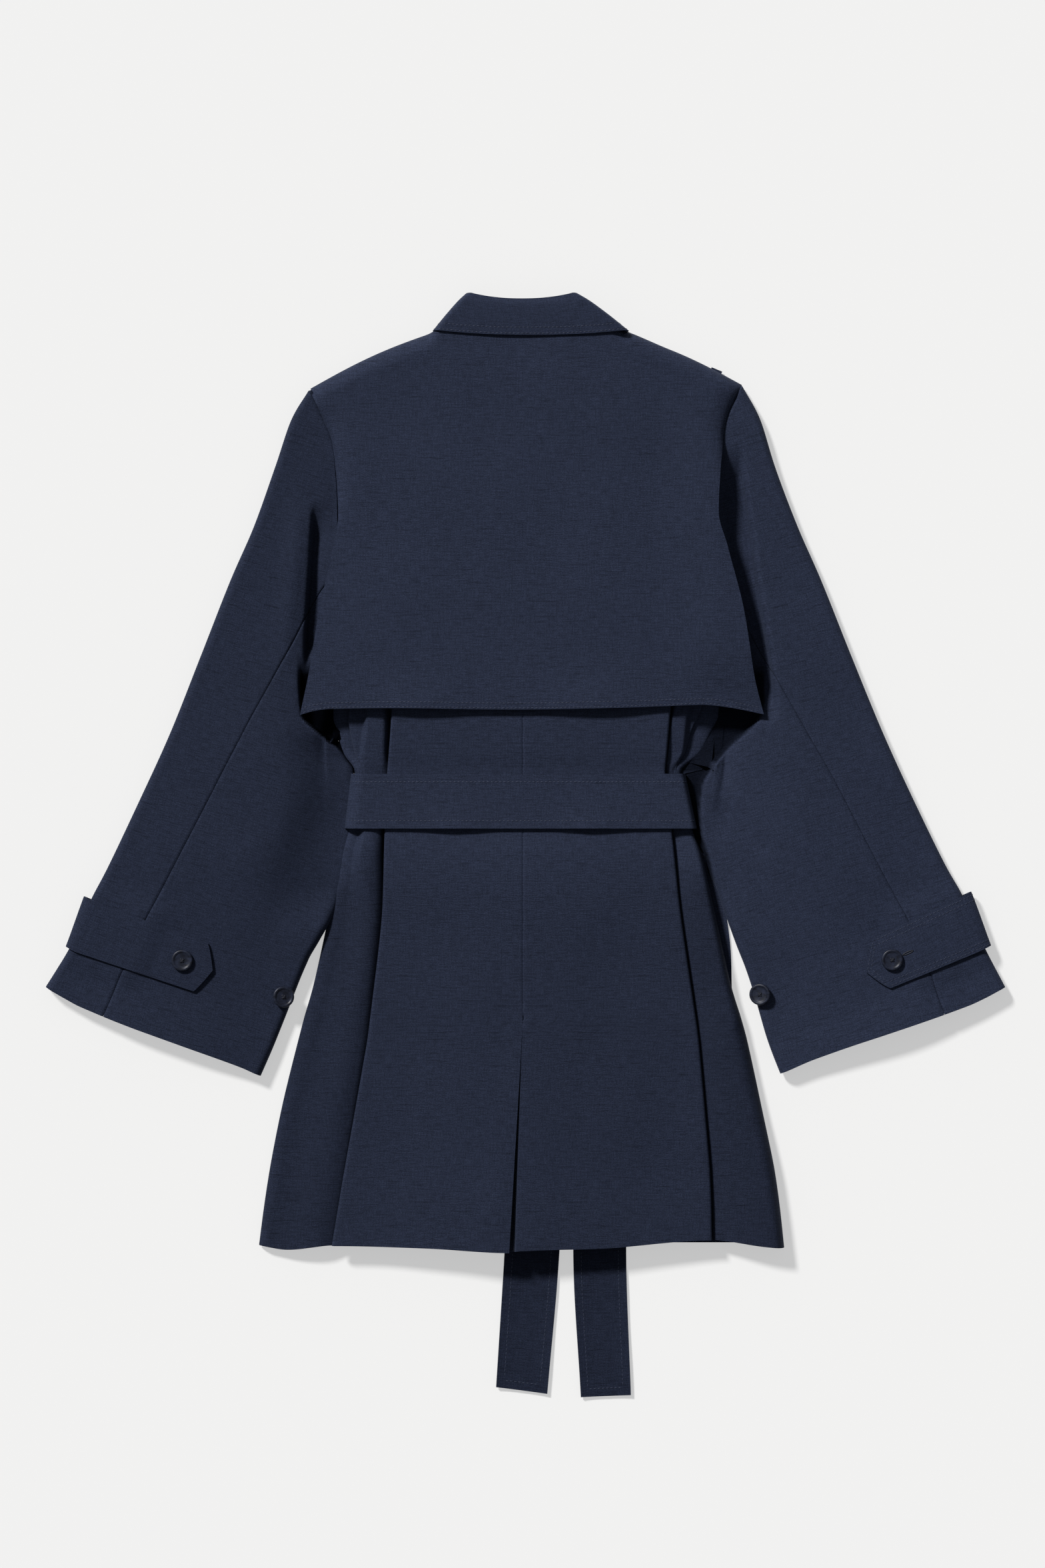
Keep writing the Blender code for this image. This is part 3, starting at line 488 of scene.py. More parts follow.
@dataclass(frozen=True)
class WoolFinish:
    """Navy suiting: two mixed yarns, uneven threads both ways, dark slubs, plain weave, faint sheen and
    painted shade.
    """

    name: str = "navy_wool"
    deep: Color = (0.0150, 0.0206, 0.0420, 1.0)
    pale: Color = (0.0336, 0.0432, 0.0800, 1.0)
    weft: float = 0.28
    warp: float = 0.20
    slub: float = 0.28
    weave_pitch: float = 0.0007
    sheen: float = 0.05
    sheen_tint: Color = (0.55, 0.66, 0.95, 1.0)
    # Deepest painted shade, where the 'hollow' attribute is 1.
    hollow_shade: float = 0.95
    gloss: float = 0.08

    def material(self) -> bpy.types.Material:
        """Colour from fine mixed-yarn noise, darkened by stretched noise and by painted shade; bump from two
        crossed waves.

        Returns:
            The cloth.
        """
        nodes = Nodes(self.name)
        uv = nodes.add("ShaderNodeTexCoord").outputs["UV"]
        yarn = nodes.noise(uv, (950.0, 1150.0, 1.0), 3.0)
        blend = nodes.mix(nodes.ramp(yarn, 0.34, 0.66, 0.0, 1.0), self.deep, self.pale)
        weft = nodes.ramp(nodes.noise(uv, (110.0, 900.0, 1.0), 1.0), 0.35, 0.70, 1.0, 1.0 - self.weft)
        warp = nodes.ramp(nodes.noise(uv, (900.0, 90.0, 1.0), 1.0), 0.35, 0.70, 1.0, 1.0 - self.warp)
        slub = nodes.ramp(nodes.noise(uv, (34.0, 620.0, 1.0), 1.0), 0.60, 0.74, 1.0, 1.0 - self.slub)
        broad = nodes.ramp(nodes.noise(uv, (7.0, 11.0, 1.0), 2.0), 0.3, 0.7, 0.97, 1.03)
        # Painted shade: the 'hollow' attribute darkens the colour, the gloss and the sheen.
        hollow = nodes.add("ShaderNodeAttribute", attribute_name="hollow").outputs["Fac"]
        lit = nodes.ramp(hollow, 0.0, 1.0, 1.0, 1.0 - self.hollow_shade)
        # shade holds the painted shade times the yarns' own uneven tone.
        shade = lit
        for part in (weft, slub, warp, broad):
            shade = nodes.math("MULTIPLY", shade, part)
        waves = {"Vector": uv, "Scale": 0.3142 / self.weave_pitch, "Distortion": 0.6}
        across, along = (nodes.add("ShaderNodeTexWave", waves, bands_direction=way) for way in "XY")
        weave = nodes.math("MAXIMUM", across.outputs["Fac"], along.outputs["Fac"])
        height = nodes.math("ADD", weave, nodes.math("MULTIPLY", yarn, 0.9))
        return nodes.dress({
            "Base Color": nodes.mix(1.0, blend, shade, "MULTIPLY"),
            "Normal": nodes.bump(height, 0.35, 0.0002),
            "Roughness": nodes.ramp(yarn, 0.3, 0.7, 0.74, 0.90),
            "Specular IOR Level": nodes.math("MULTIPLY", lit, self.gloss),
            "Sheen Weight": nodes.math("MULTIPLY", lit, self.sheen),
            "Sheen Roughness": 0.45,
            "Sheen Tint": self.sheen_tint,
        })


@dataclass(frozen=True)
class ThreadFinish:
    """Twisted navy sewing thread, a little smoother and lighter than the cloth."""

    name: str = "sewing_thread"
    color: Color = (0.040, 0.050, 0.088, 1.0)
    dark: Color = (0.019, 0.024, 0.045, 1.0)

    def material(self) -> bpy.types.Material:
        """Two tones mixed by fine noise on object coordinates, which also gives the bump.

        Returns:
            The thread.
        """
        nodes = Nodes(self.name)
        spot = nodes.add("ShaderNodeTexCoord").outputs["Object"]
        twist = nodes.noise(spot, (2600.0, 2600.0, 2600.0), 2.0)
        return nodes.dress({
            "Base Color": nodes.mix(twist, self.dark, self.color),
            "Normal": nodes.bump(twist, 0.3, 0.0001),
            "Roughness": 0.55,
            "Specular IOR Level": 0.3,
        })


@dataclass(frozen=True)
class ButtonFinish:
    """Moulded navy-black button: faint marbling and a satin gloss, finely uneven."""

    name: str = "button_plastic"
    dark: Color = (0.0060, 0.0076, 0.0145, 1.0)
    pale: Color = (0.0175, 0.0225, 0.0430, 1.0)

    def material(self) -> bpy.types.Material:
        """Marbling from stretched noise, roughness and bump from finer noise, on object coordinates.

        Returns:
            The buttons' material.
        """
        nodes = Nodes(self.name)
        spot = nodes.add("ShaderNodeTexCoord").outputs["Object"]
        marble = nodes.noise(spot, (240.0, 330.0, 260.0), 4.0)
        fine = nodes.noise(spot, (2200.0, 2200.0, 2200.0), 2.0)
        return nodes.dress({
            "Base Color": nodes.mix(nodes.ramp(marble, 0.35, 0.7, 0.0, 1.0), self.dark, self.pale),
            "Normal": nodes.bump(fine, 0.15, 0.0001),
            "Roughness": nodes.ramp(fine, 0.3, 0.7, 0.34, 0.46),
            "Specular IOR Level": 0.26,
        })


@dataclass(frozen=True)
class PaperFinish:
    """The pale matte surface below the jacket."""

    name: str = "pale_surface"
    color: Color = (0.40, 0.40, 0.40, 1.0)
    glow: float = 0.49

    def material(self) -> bpy.types.Material:
        """An even matte grey with an even glow, so that it shows nearly white and shadows stay soft.

        Returns:
            The surface's material.
        """
        return Nodes(self.name).dress({
            "Base Color": self.color,
            "Roughness": 1.0,
            "Specular IOR Level": 0.0,
            "Emission Color": (1.0, 1.0, 1.0, 1.0),
            "Emission Strength": self.glow,
        })


@dataclass
class Finishes:
    """The materials of the jacket, made once."""

    wool: bpy.types.Material = field(default_factory=lambda: WoolFinish().material())
    thread: bpy.types.Material = field(default_factory=lambda: ThreadFinish().material())
    binding: bpy.types.Material = field(default_factory=lambda: ThreadFinish(
        "binding_thread", (0.012, 0.015, 0.028, 1.0), (0.005, 0.006, 0.012, 1.0)).material())
    button: bpy.types.Material = field(default_factory=lambda: ButtonFinish().material())


def add_mesh(name: str, points: Array, faces: Array, finish: bpy.types.Material, uv: Array | None = None,
             sharp: float = 50.0) -> bpy.types.Object:
    """A mesh object at the origin from points in millimetres.

    Args:
        name: name of the piece.
        points: its points.
        faces: its faces, all with the same number of corners.
        finish: its material.
        uv: a place on the cloth for each point, in metres.
        sharp: angle above which an edge is shaded sharp, in degrees.

    Returns:
        The linked object.
    """
    mesh = bpy.data.meshes.new(name)
    count, corners = faces.shape
    mesh.vertices.add(len(points))
    mesh.vertices.foreach_set("co", (points * MM).astype(np.float32).ravel())
    mesh.loops.add(count * corners)
    mesh.loops.foreach_set("vertex_index", faces.astype(np.int32).ravel())
    mesh.polygons.add(count)
    mesh.polygons.foreach_set("loop_start", np.arange(0, count * corners, corners, dtype=np.int32))
    mesh.update(calc_edges=True)
    mesh.validate()
    if uv is not None:
        layer = mesh.uv_layers.new(name="cloth")
        layer.data.foreach_set("uv", uv[faces.ravel()].astype(np.float32).ravel())
    mesh.shade_smooth()
    mesh.set_sharp_from_angle(angle=math.radians(sharp))
    mesh.materials.append(finish)
    made = bpy.data.objects.new(name, mesh)
    bpy.context.scene.collection.objects.link(made)
    return made


def cells(a: Array, b: Array, c: Array, d: Array) -> Array:
    """Four-cornered faces from four arrays of corners."""
    return np.stack([a, b, c, d], axis=-1).reshape(-1, 4)


def tube(rings: int, around: int) -> Array:
    """Faces of a closed tube: a band between each two rings, and both ends closed from side to side.

    Args:
        rings: how many rings its points make, one after another.
        around: how many points a ring has, an even number.

    Returns:
        The four-cornered faces.
    """
    face = np.arange(rings * around).reshape(rings, around)
    after = np.roll(face, -1, axis=1)
    half = around // 2
    faces = [cells(face[:-1], after[:-1], after[1:], face[1:])]
    for ring, back in ((face[0, ::-1], face[0]), (face[-1], face[-1, ::-1])):
        faces.append(cells(ring[:half - 1], ring[1:half], back[1:half], back[:half - 1]))
    return np.concatenate(faces)


def running_length(grid: Array, axis: int) -> Array:
    """Length along one way of a grid, counted from its first point."""
    step = np.linalg.norm(np.diff(grid, axis=axis), axis=-1)
    return np.concatenate([np.take(0 * step, [0], axis=axis), np.cumsum(step, axis=axis)], axis=axis)


class Trace(NamedTuple):
    """A line of sewing on a piece: fractional rows and columns of its grid, and its offset outward."""

    rows: Array
    columns: Array
    lift: float = HALF


def read_grid(grid: Array, rows: Array, columns: Array) -> Array:
    """Points between those of a grid, by straight interpolation both ways.

    Args:
        grid: the surface.
        rows: fractional row numbers.
        columns: fractional column numbers.

    Returns:
        The points.
    """
    r = np.clip(rows, 0, grid.shape[0] - 1.001)
    c = np.clip(columns, 0, grid.shape[1] - 1.001)
    i, j = r.astype(int), c.astype(int)
    s, t = (r - i)[:, None], (c - j)[:, None]
    upper = grid[i, j] * (1 - t) + grid[i, j + 1] * t
    lower = grid[i + 1, j] * (1 - t) + grid[i + 1, j + 1] * t
    return upper * (1 - s) + lower * s


@dataclass(frozen=True)
class Stitching:
    """Straight stitches sunk half into the cloth, each a six-sided spindle."""

    length: float = 2.7
    gap: float = 0.9
    radius: float = 0.34

    def template(self) -> tuple[Array, Array]:
        """Points of one stitch as (along, across, up) and its faces: a closed spindle of five rings.

        Returns:
            The points and the faces.
        """
        turn = np.linspace(0, 2 * math.pi, 6, endpoint=False)
        along = np.array([-0.5, -0.42, 0.0, 0.42, 0.5]) * self.length
        size = np.array([0.12, 0.62, 1.0, 0.62, 0.12]) * self.radius
        points = np.stack([np.repeat(along, 6), np.outer(size, np.cos(turn)).ravel(),
                           np.outer(size, np.sin(turn)).ravel()], axis=-1)
        return points, tube(5, 6)

    def build(self, name: str, grid: Array, across: Array, traces: Sequence[Trace],
              finish: bpy.types.Material) -> bpy.types.Object:
        """Stitches set at even steps along each trace and joined into one mesh.

        Args:
            name: name of the piece.
            grid: middle surface that carries the stitches.
            across: directions across the cloth.
            traces: lines of sewing.
            finish: thread material.

        Returns:
            The object.
        """
        shape, faces = self.template()
        blocks = []
        for trace in traces:
            line = read_grid(grid, trace.rows, trace.columns)
            up = unit(read_grid(across, trace.rows, trace.columns)) * np.sign(trace.lift)
            line = line + up * abs(trace.lift)
            run = np.concatenate([[0.0], np.cumsum(np.linalg.norm(np.diff(line, axis=0), axis=1))])
            stops = np.arange(self.length, run[-1] - self.length / 2, self.length + self.gap)
            spot = np.stack([np.interp(stops, run, line[:, k]) for k in range(3)], axis=-1)
            ahead = np.stack([np.interp(stops + 1.0, run, line[:, k]) for k in range(3)], axis=-1)
            way = unit(ahead - spot)
            rise = unit(np.stack([np.interp(stops, run, up[:, k]) for k in range(3)], axis=-1))
            over = unit(np.cross(rise, way))
            axes = np.stack([way, over, np.cross(way, over)], axis=1)
            blocks.append(spot[:, None, :] + np.einsum("pk,nkj->npj", shape, axes))
        points = np.concatenate(blocks)
        starts = np.arange(len(points))[:, None, None] * len(shape)
        return add_mesh(name, points.reshape(-1, 3), (faces[None] + starts).reshape(-1, 4), finish)


@dataclass
class ClothPiece(ABC):
    """A cloth piece made from a grid and set in place of a CAD node.

    The straight grain runs down the column at the share straight_at, and a share of painted shade can be
    laid evenly over the whole piece, where it lies turned from the light.
    """

    node: str
    held: Held = Held.LAID
    rests_on: tuple[str, ...] = ()
    thickness: float = CLOTH
    straight_at: float = 0.5
    # Painted shade laid evenly over the whole piece, from 0 to 1.
    even_painted_shade: float = 0.0

    @abstractmethod
    def grid(self) -> Array:
        """The middle surface, in mm."""

    def across(self, grid: Array) -> Array:
        """Directions across the wall."""
        return normals(grid)

    def painted_shade_map(self, grid: Array) -> Array:
        """How much painted shade each point takes, from 0 to 1; none unless a piece has some."""
        return np.zeros(grid.shape[:2])

    def places(self, grid: Array) -> Array:
        """Places on the flat cloth: length along each row from the reference column, mean length down the
        columns, in mm.

        Args:
            grid: the middle surface.

        Returns:
            A pair of lengths for each point.
        """
        u = running_length(grid, 1)
        start = u[:, [round(self.straight_at * (grid.shape[1] - 1))]]
        v = running_length(grid, 0).mean(axis=1, keepdims=True)
        return np.stack(np.broadcast_arrays(u - start, v), axis=-1)

    def traces(self, grid: Array) -> list[Trace]:
        """Lines of sewing on the piece; none unless a piece has them."""
        return []

    def wall(self, grid: Array, across: Array, finish: bpy.types.Material) -> bpy.types.Object:
        """A closed wall: both faces half a thickness from the middle surface, joined by a rim.

        Args:
            grid: the middle surface.
            across: unit directions across it.
            finish: the cloth.

        Returns:
            The object.
        """
        offset = across * (self.thickness / 2)
        points = np.concatenate([(grid + offset).reshape(-1, 3), (grid - offset).reshape(-1, 3)])
        count = grid.shape[0] * grid.shape[1]
        face = np.arange(count).reshape(grid.shape[:2])
        upper = cells(face[:-1, :-1], face[:-1, 1:], face[1:, 1:], face[1:, :-1])
        rim = np.concatenate([face[0, :], face[1:, -1], face[-1, -2::-1], face[-2:0:-1, 0]])
        after = np.roll(rim, -1)
        side = cells(after, rim, rim + count, after + count)
        faces = np.concatenate([upper, upper[:, ::-1] + count, side])
        corner = points[faces]
        volume = np.einsum("ij,ij->", corner[:, 0], np.cross(corner[:, 1], corner[:, 2]))
        volume += np.einsum("ij,ij->", corner[:, 0], np.cross(corner[:, 2], corner[:, 3]))
        if volume < 0:
            faces = faces[:, ::-1]
        uv = self.places(grid).reshape(-1, 2) * MM
        made = add_mesh(self.node + "_cloth", points, faces, finish, np.concatenate([uv, uv]))
        # Painted shade for each point, stored as the 'hollow' attribute that the wool's shader reads.
        hollow = np.tile(np.maximum(self.painted_shade_map(grid), self.even_painted_shade).ravel(), 2).astype(np.float32)
        made.data.attributes.new("hollow", "FLOAT", "POINT").data.foreach_set("value", hollow)
        return made

    def build(self, finishes: Finishes) -> None:
        """Args:
            finishes: the jacket's materials.
        """
        grid = self.grid()
        across = self.across(grid)
        piece = self.wall(grid, across, finishes.wool)
        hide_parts(self.node)
        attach(piece, "root")
        traces = self.traces(grid)
        if traces:
            stitches = Stitching().build(self.node + "_stitches", grid, across, traces, finishes.thread)
            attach(stitches, "root")


ARMHOLE: dict[Side, tuple[Point, ...]] = {
    Side.LEFT: ((88, 163.4), (105, 167), (140, 167.4), (180, 166), (222, 164.4),
                (279.4, 162.8), (306.7, 163.9), (349, 168.5), (374, 178.4), (394, 188.6)),
    Side.RIGHT: ((64, 157), (105, 167), (150, 169.5), (222, 168.5), (279.4, 167.6),
                 (306.7, 167.8), (349, 170.2), (376, 178), (397.8, 188.6)),
}


def armhole_limit(side: Side, y: Array, lean: Array, out: Array, gap: float) -> Array:
    """Half widths held just inside the armhole, for rows that reach it.

    Args:
        side: which armhole.
        y: rows' places.
        lean: share of the shoulder's fall that the rows take.
        out: half widths wanted.
        gap: how far inside the armhole they stay.

    Returns:
        Half widths, found by four rounds of reading the armhole where the row's end lies.
    """
    for _ in range(4):
        end_y = y - lean * shoulder_drop(side * out)
        edge = through(ARMHOLE[side], end_y) - gap
        out = np.where(end_y > ARMHOLE[side][0][0], np.minimum(out, edge), out)
    return out


BACK_ROWS: dict[Side, tuple[BackRow, ...]] = {
    Side.LEFT: (
        BackRow(-350, 0, 231, 2.2, 8, 167.3, 172, 21, 1.8, 18, 27, 205, 0, 6.5),
        BackRow(-318, 0, 227, 2.2, 9, 162, 172, 21, 1.8, 18, 26.5, 201, 0, 6.5),
        BackRow(-286, 0, 222.3, 2.2, 10, 156.9, 172, 20, 1.8, 17.5, 25.5, 196, 0, 6.5),
        BackRow(-230, 0, 211.5, 2.2, 11, 147, 171, 18, 1.8, 17, 24, 185, 0, 7),
        BackRow(-166, 0, 195.8, 2.2, 12, 136, 170, 16, 1.8, 16.5, 22, 172, 0, 7.5),
        BackRow(-150, 0, 191.6, 2.2, 12, 134, 170, 15, 1.8, 16.5, 21.5, 168, 0, 7.5),
        BackRow(-126, 0, 184.6, 2.2, 12, 131, 170, 14, 1.8, 16, 21, 163, 0, 8),
        BackRow(-53, 0, 168.5, 2.2, 11, 123.3, 168, 10, 1.7, 15.5, 19, 150, 0, 8),
        BackRow(-6, 0, 158.8, 3.2, 9, 122, 160, 6, 1.5, 15, 17.2, 143, 0, 10),
        BackRow(12, 0, 153.4, 3.8, 8, 121.5, 152, 4, 1.3, 14.2, 15, 137, 0, 7),
        BackRow(38, 0, 150.8, 3.8, 8, 120.3, 150, 3, 1.3, 14, 14.8, 136, 0, 2),
        BackRow(63, 0, 147.6, 3.8, 7, 119.2, 140, 3, 1.3, 14.2, 15, 143, 1, 0, 2),
        BackRow(80, 0, 158, 2.4, 10, 117.8, 112, 8, 1.5, 16, 17, 142, 0, 0, 8),
        BackRow(105, 0, 165.7, 1.9, 12, 116, 104, 9, 1.6, 18, 18.6, 139, 0, 0, 10),
        BackRow(125, 0, 173.5, 4, 14, 115, 86, 9, 1.6, 18.8, 19.4, 138, 0, 0, 9),
        BackRow(155, 0, 177, 9, 14, 115, 58, 6, 1.6, 19.5, 20, 142, 2, 0),
        BackRow(190, 0.2, 172, 14, 12, 115, 34, 6, 1.6, 19.8, 20.3, 140, 1, 0),
        BackRow(240, 0.4, 164, 14, 14, 114, 20, 6, 1.6, 20, 20.5, 138, 0, 0),
        BackRow(300, 0.6, 162, 12, 16, 113, 8, 6, 1.6, 19.8, 20.3, 137, 0, 0),
        BackRow(352, 0.85, 164, 12, 16, 112, 4, 6, 1.6, 19.4, 20, 137, 0, 0),
        BackRow(400, 0.95, 172, 12, 16, 112, 3, 6, 1.6, 18.8, 19.6, 140, 0, 0),
        BackRow(427, 1, 180, 15.5, 10, 112, 3, 6, 1.6, 18.2, 19.2, 144, 0, 0),
        BackRow(437, 1, 184, 15, 10, 112, 3, 6, 1.6, 18, 19, 146, 0, 0),
        BackRow(440.4, 1, 185.5, 15, 10, 112, 3, 6, 1.6, 18, 19, 147, 0, 0),
        BackRow(441.5, 1, 186, 15, 10, 112, 3, 6, 1.6, 18, 19, 147, 0, 0),
    ),
    Side.RIGHT: (
        BackRow(-350, 0, 224.2, 2.2, 8, 161, 172, 21, 1.8, 18, 27, 198, 0, 12),
        BackRow(-318, 0, 220.8, 2.2, 9, 160.5, 172, 21, 1.8, 18, 26.5, 195, 0, 12),
        BackRow(-286, 0, 216.4, 2.2, 10, 159.4, 172, 20, 1.8, 17.5, 25.5, 192, 0, 12),
        BackRow(-230, 0, 205, 2.2, 11, 155, 171, 18, 1.8, 17, 24, 184, 0, 11.5),
        BackRow(-166, 0, 191, 2.2, 12, 149.2, 170, 16, 1.8, 16.5, 22, 172, 0, 10.5),
        BackRow(-150, 0, 186.5, 2.2, 8, 147, 170, 15, 1.8, 16.5, 21.5, 169, 0, 10),
        BackRow(-126, 0, 179, 2.2, 7, 143.5, 170, 14, 1.8, 16, 21, 163, 0, 9),
        BackRow(-53, 0, 162.7, 2.2, 5, 133.1, 168, 10, 1.7, 15.5, 19, 148, 0, 9),
        BackRow(-6, 0, 151.5, 3.2, 4, 128.2, 160, 6, 1.5, 15, 17.2, 140, 0, 6),
        BackRow(12, 0, 144.6, 3.8, 3, 126.2, 152, 4, 1.3, 14.2, 15, 134, 0, 3),
        BackRow(38, 0, 139.4, 3.8, 3, 124, 150, 3, 1.3, 14, 14.8, 130, 0.5, 0),
        BackRow(63, 0, 134.4, 3.8, 4, 120.6, 140, 3, 1.3, 14.2, 15, 128, 0.5, 0, 1.5),
        BackRow(80, 0, 151, 2.4, 13, 122, 112, 8, 1.5, 16, 17, 137, 0, 0, 6),
        BackRow(105, 0, 164, 1.9, 18, 124, 104, 9, 1.6, 18, 18.6, 140, 0, 0, 9),
        BackRow(125, 0, 174.5, 4, 14, 125.2, 86, 9, 1.6, 18.8, 19.4, 142, 0, 0, 9),
        BackRow(155, 0, 178, 9, 14, 125, 58, 6, 1.6, 19.5, 20, 146, 2, 0),
        BackRow(190, 0.2, 174, 14, 12, 124, 34, 6, 1.6, 19.8, 20.3, 146, 1, 0),
        BackRow(240, 0.4, 168, 14, 14, 122, 20, 6, 1.6, 20, 20.5, 144, 0, 0),
        BackRow(300, 0.6, 167, 12, 16, 120, 8, 6, 1.6, 19.8, 20.3, 142, 0, 0),
        BackRow(352, 0.85, 167, 11, 16, 118, 4, 6, 1.6, 19.4, 20, 140, 0, 0),
        BackRow(400, 0.95, 172, 9, 16, 116, 3, 6, 1.6, 18.8, 19.6, 140, 0, 0),
        BackRow(427, 1, 180, 9, 16, 114, 3, 6, 1.6, 18.2, 19.2, 144, 0, 0),
        BackRow(437, 1, 184, 9, 16, 112, 3, 6, 1.6, 18, 19, 146, 0, 0),
        BackRow(440.4, 1, 185.5, 9, 16, 112, 3, 6, 1.6, 18, 19, 147, 0, 0),
        BackRow(441.5, 1, 186, 9, 16, 112, 3, 6, 1.6, 18, 19, 147, 0, 0),
    ),
}


@dataclass
class BackPanel(ClothPiece):
    """One back panel: rounded side, knife pleat, centre seam and vent."""

    side: Side = Side.LEFT
    top: float = 441.5
    seam_x: float = -2.3
    vent_top: float = -150.0
    hem_y: float = -350.0
    lap_edge: tuple[Point, ...] = ((-350, 11.7), (-230, 4.4), (-166, 0.7), (-150, 0), (500, 0))
    under_edge: tuple[Point, ...] = ((-350, 26), (-230, 24), (-170, 20), (-158, 10), (-150, 0), (500, 0))
    sink: tuple[Point, ...] = ((-350, 11), (-230, 10), (-172, 8), (-159, 4), (-150, 1), (-144, 0),
                               (500, 0))
    vent_gap: float = 0.52
    hem_line: tuple[Point, ...] = ((-231, -348.1), (-207, -351.6), (-167, -347.6), (-86, -349.3),
                                   (-13, -352.8), (-6, -351.2), (66, -349.3), (160, -342.6), (206, -348.1),
                                   (224, -349.9))
    hem_reach: float = 100.0
    armhole_gap: float = 0.8
    groove_width: float = 2.2
    valley: dict[Side, float] = field(default_factory=lambda: {Side.LEFT: 7.5, Side.RIGHT: 3.0})
    knee_width: float = 3.0
    sink_over: float = 2.4
    seam_width: float = 2.0
    seam_depth: float = 0.6
    seam_opens_over: float = 8.0
    waviness: float = 0.5
    wavy_below: float = -10.0
    # Painted shade: where the even shade starts below the belt, and where the pleat's shade stops above.
    painted_shade_below: float = -5.0
    shade_top: float = 120.0
    curl_columns: int = 10
    side_columns: int = 38
    bend_columns: int = 8
    # Painted shade beside the pleat's fold: its width on each side, its strength, and the even shade on side
    # part and skirt.
    left_shade: tuple[Point, ...] = ((-350, 3), (-230, 6), (-150, 10), (-60, 12), (0, 9), (40, 4), (120, 7))
    right_shade: tuple[Point, ...] = ((-350, 5), (-230, 6), (-100, 6), (0, 4), (120, 3))
    shade: float = 0.95
    side_painted_shade: float = 0.30
    skirt_painted_shade: float = 0.14

    def centre(self, y: Array) -> tuple[Array, Array]:
        """Distance of the centre edge from the centre line, and how far the panel sinks under the other.

        Args:
            y: places of the rows.

        Returns:
            The edge and the sinking; the left panel laps over and the right one goes under.
        """
        if self.side == Side.LEFT:
            return -self.seam_x + SEAM / 2 + through(self.lap_edge, y), 0 * y
        return self.seam_x + SEAM / 2 - through(self.under_edge, y), through(self.sink, y)

    def grid(self) -> Array:
        """Sections joined from a quarter round, a crowned side part with a small fold, an S of two arcs
        for the pleat, and a rising flat part; then the hem line, the shoulder's rounding and unevenness.

        Returns:
            The middle surface.
        """
        rows = BACK_ROWS[self.side]
        row = sample(rows, even_rows(rows, 250))
        row = row._replace(side=armhole_limit(self.side, row.y, row.lean, row.side, self.armhole_gap))
        angle = np.radians(row.turn)
        low = row.fold_z - 2 * row.bend * (1 - np.cos(angle)) - row.reach * np.sin(angle)
        second = row.fold - np.where(row.turn > 90, row.bend * (1 - np.sin(angle)), 0.0)
        first = second + row.reach * np.cos(angle) + row.bend * np.sin(angle)

        curl = np.radians(np.linspace(0, 90, self.curl_columns))[None, :]
        curl_out = row.side - row.curl * (1 - np.cos(curl))
        shoulder = low + (row.crown if self.side == Side.RIGHT else 0.0)
        curl_z = row.side_z + (shoulder - row.side_z) * np.sin(curl)
        share = np.linspace(0, 1, self.side_columns + 2)[None, 1:-1]
        edge = row.side - row.curl
        part_out = edge + (first - edge) * share
        small = np.exp(-((part_out - row.groove) / self.groove_width) ** 2) * row.depth
        # Beside the pleat the side part rises to a panel, which is lower again past the small fold.
        panel = ease((part_out - first - 0.8) / self.valley[self.side])
        panel = panel * (1.0 - 0.6 * ease((part_out - row.groove + 2.0) / 4.0))
        # The left side part rises slowly on the skirt and soon near the belt, and falls off at the pleat.
        if self.side == Side.LEFT:
            climb = 0.6 - 0.38 * ease((row.y + 55.0) / 50.0)
            swell = ease(share / climb) * (1.0 - np.minimum(share / 0.8, 1.0) ** 5)
        else:
            swell = 1.0 - np.minimum(share / 0.85, 1.0) ** 2
        part_z = low + row.crown * swell + row.panel * panel - small

        thirds = np.array([[0.33, 0.67]])
        rise = angle * np.linspace(0, 1, self.bend_columns)[None, :]
        inner_out = first - row.bend * np.sin(rise)
        inner_z = low + row.bend * (1 - np.cos(rise))
        turn_out = inner_out[:, -1:] + (second - inner_out[:, -1:]) * thirds
        fall = angle * np.linspace(1, 0, self.bend_columns)[None, :]
        outer_out = second + row.bend * (np.sin(fall) - np.sin(angle))
        outer_z = row.fold_z - row.bend * (1 - np.cos(fall))
        turn_z = inner_z[:, -1:] + (outer_z[:, :1] - inner_z[:, -1:]) * thirds

        centre, sink = self.centre(row.y)
        knee = centre + self.knee_width
        if self.side == Side.RIGHT:
            shown = self.seam_x - (1.0 - self.vent_gap) * through(self.lap_edge, row.y)
            knee = np.maximum(shown, knee)
        start = outer_out[:, -1:]
        wide = start + (knee - start) * np.linspace(0, 1, 46)[None, 1:]
        flat_out = np.concatenate([wide, knee + (centre - knee) * np.linspace(0, 1, 8)[None, 1:]], axis=1)
        share = (flat_out - start) / (centre - start)
        closed = ease((row.y - self.vent_top) / self.seam_opens_over)
        flat_z = row.fold_z + (row.mid_z - row.fold_z) * ease(share)
        flat_z = flat_z - sink * ease((knee - flat_out) / self.sink_over)
        flat_z = flat_z - pressed(flat_out - centre, self.seam_width, self.seam_depth) * closed

        out = np.concatenate([curl_out, part_out, inner_out, turn_out, outer_out, flat_out], axis=1)
        z = np.concatenate([curl_z, part_z, inner_z, turn_z, outer_z, flat_z], axis=1)
        y = row.y - row.lean * shoulder_drop(self.side * out)
        hem = through(self.hem_line, self.side * out) - self.hem_y
        y = y + hem * ease((self.hem_y + self.hem_reach - row.y) / self.hem_reach)
        made = place(self.side, out, y, shoulder_rolled(self.side * out, y, z, self.top))
        loose = ease((self.wavy_below - row.y) / 60.0) * ease((out - 8.0) / 20.0) * ease((z - 6.0) / 6.0)
        made[..., 2] += unevenness(made[..., 0], made[..., 1], self.waviness) * loose
        return made

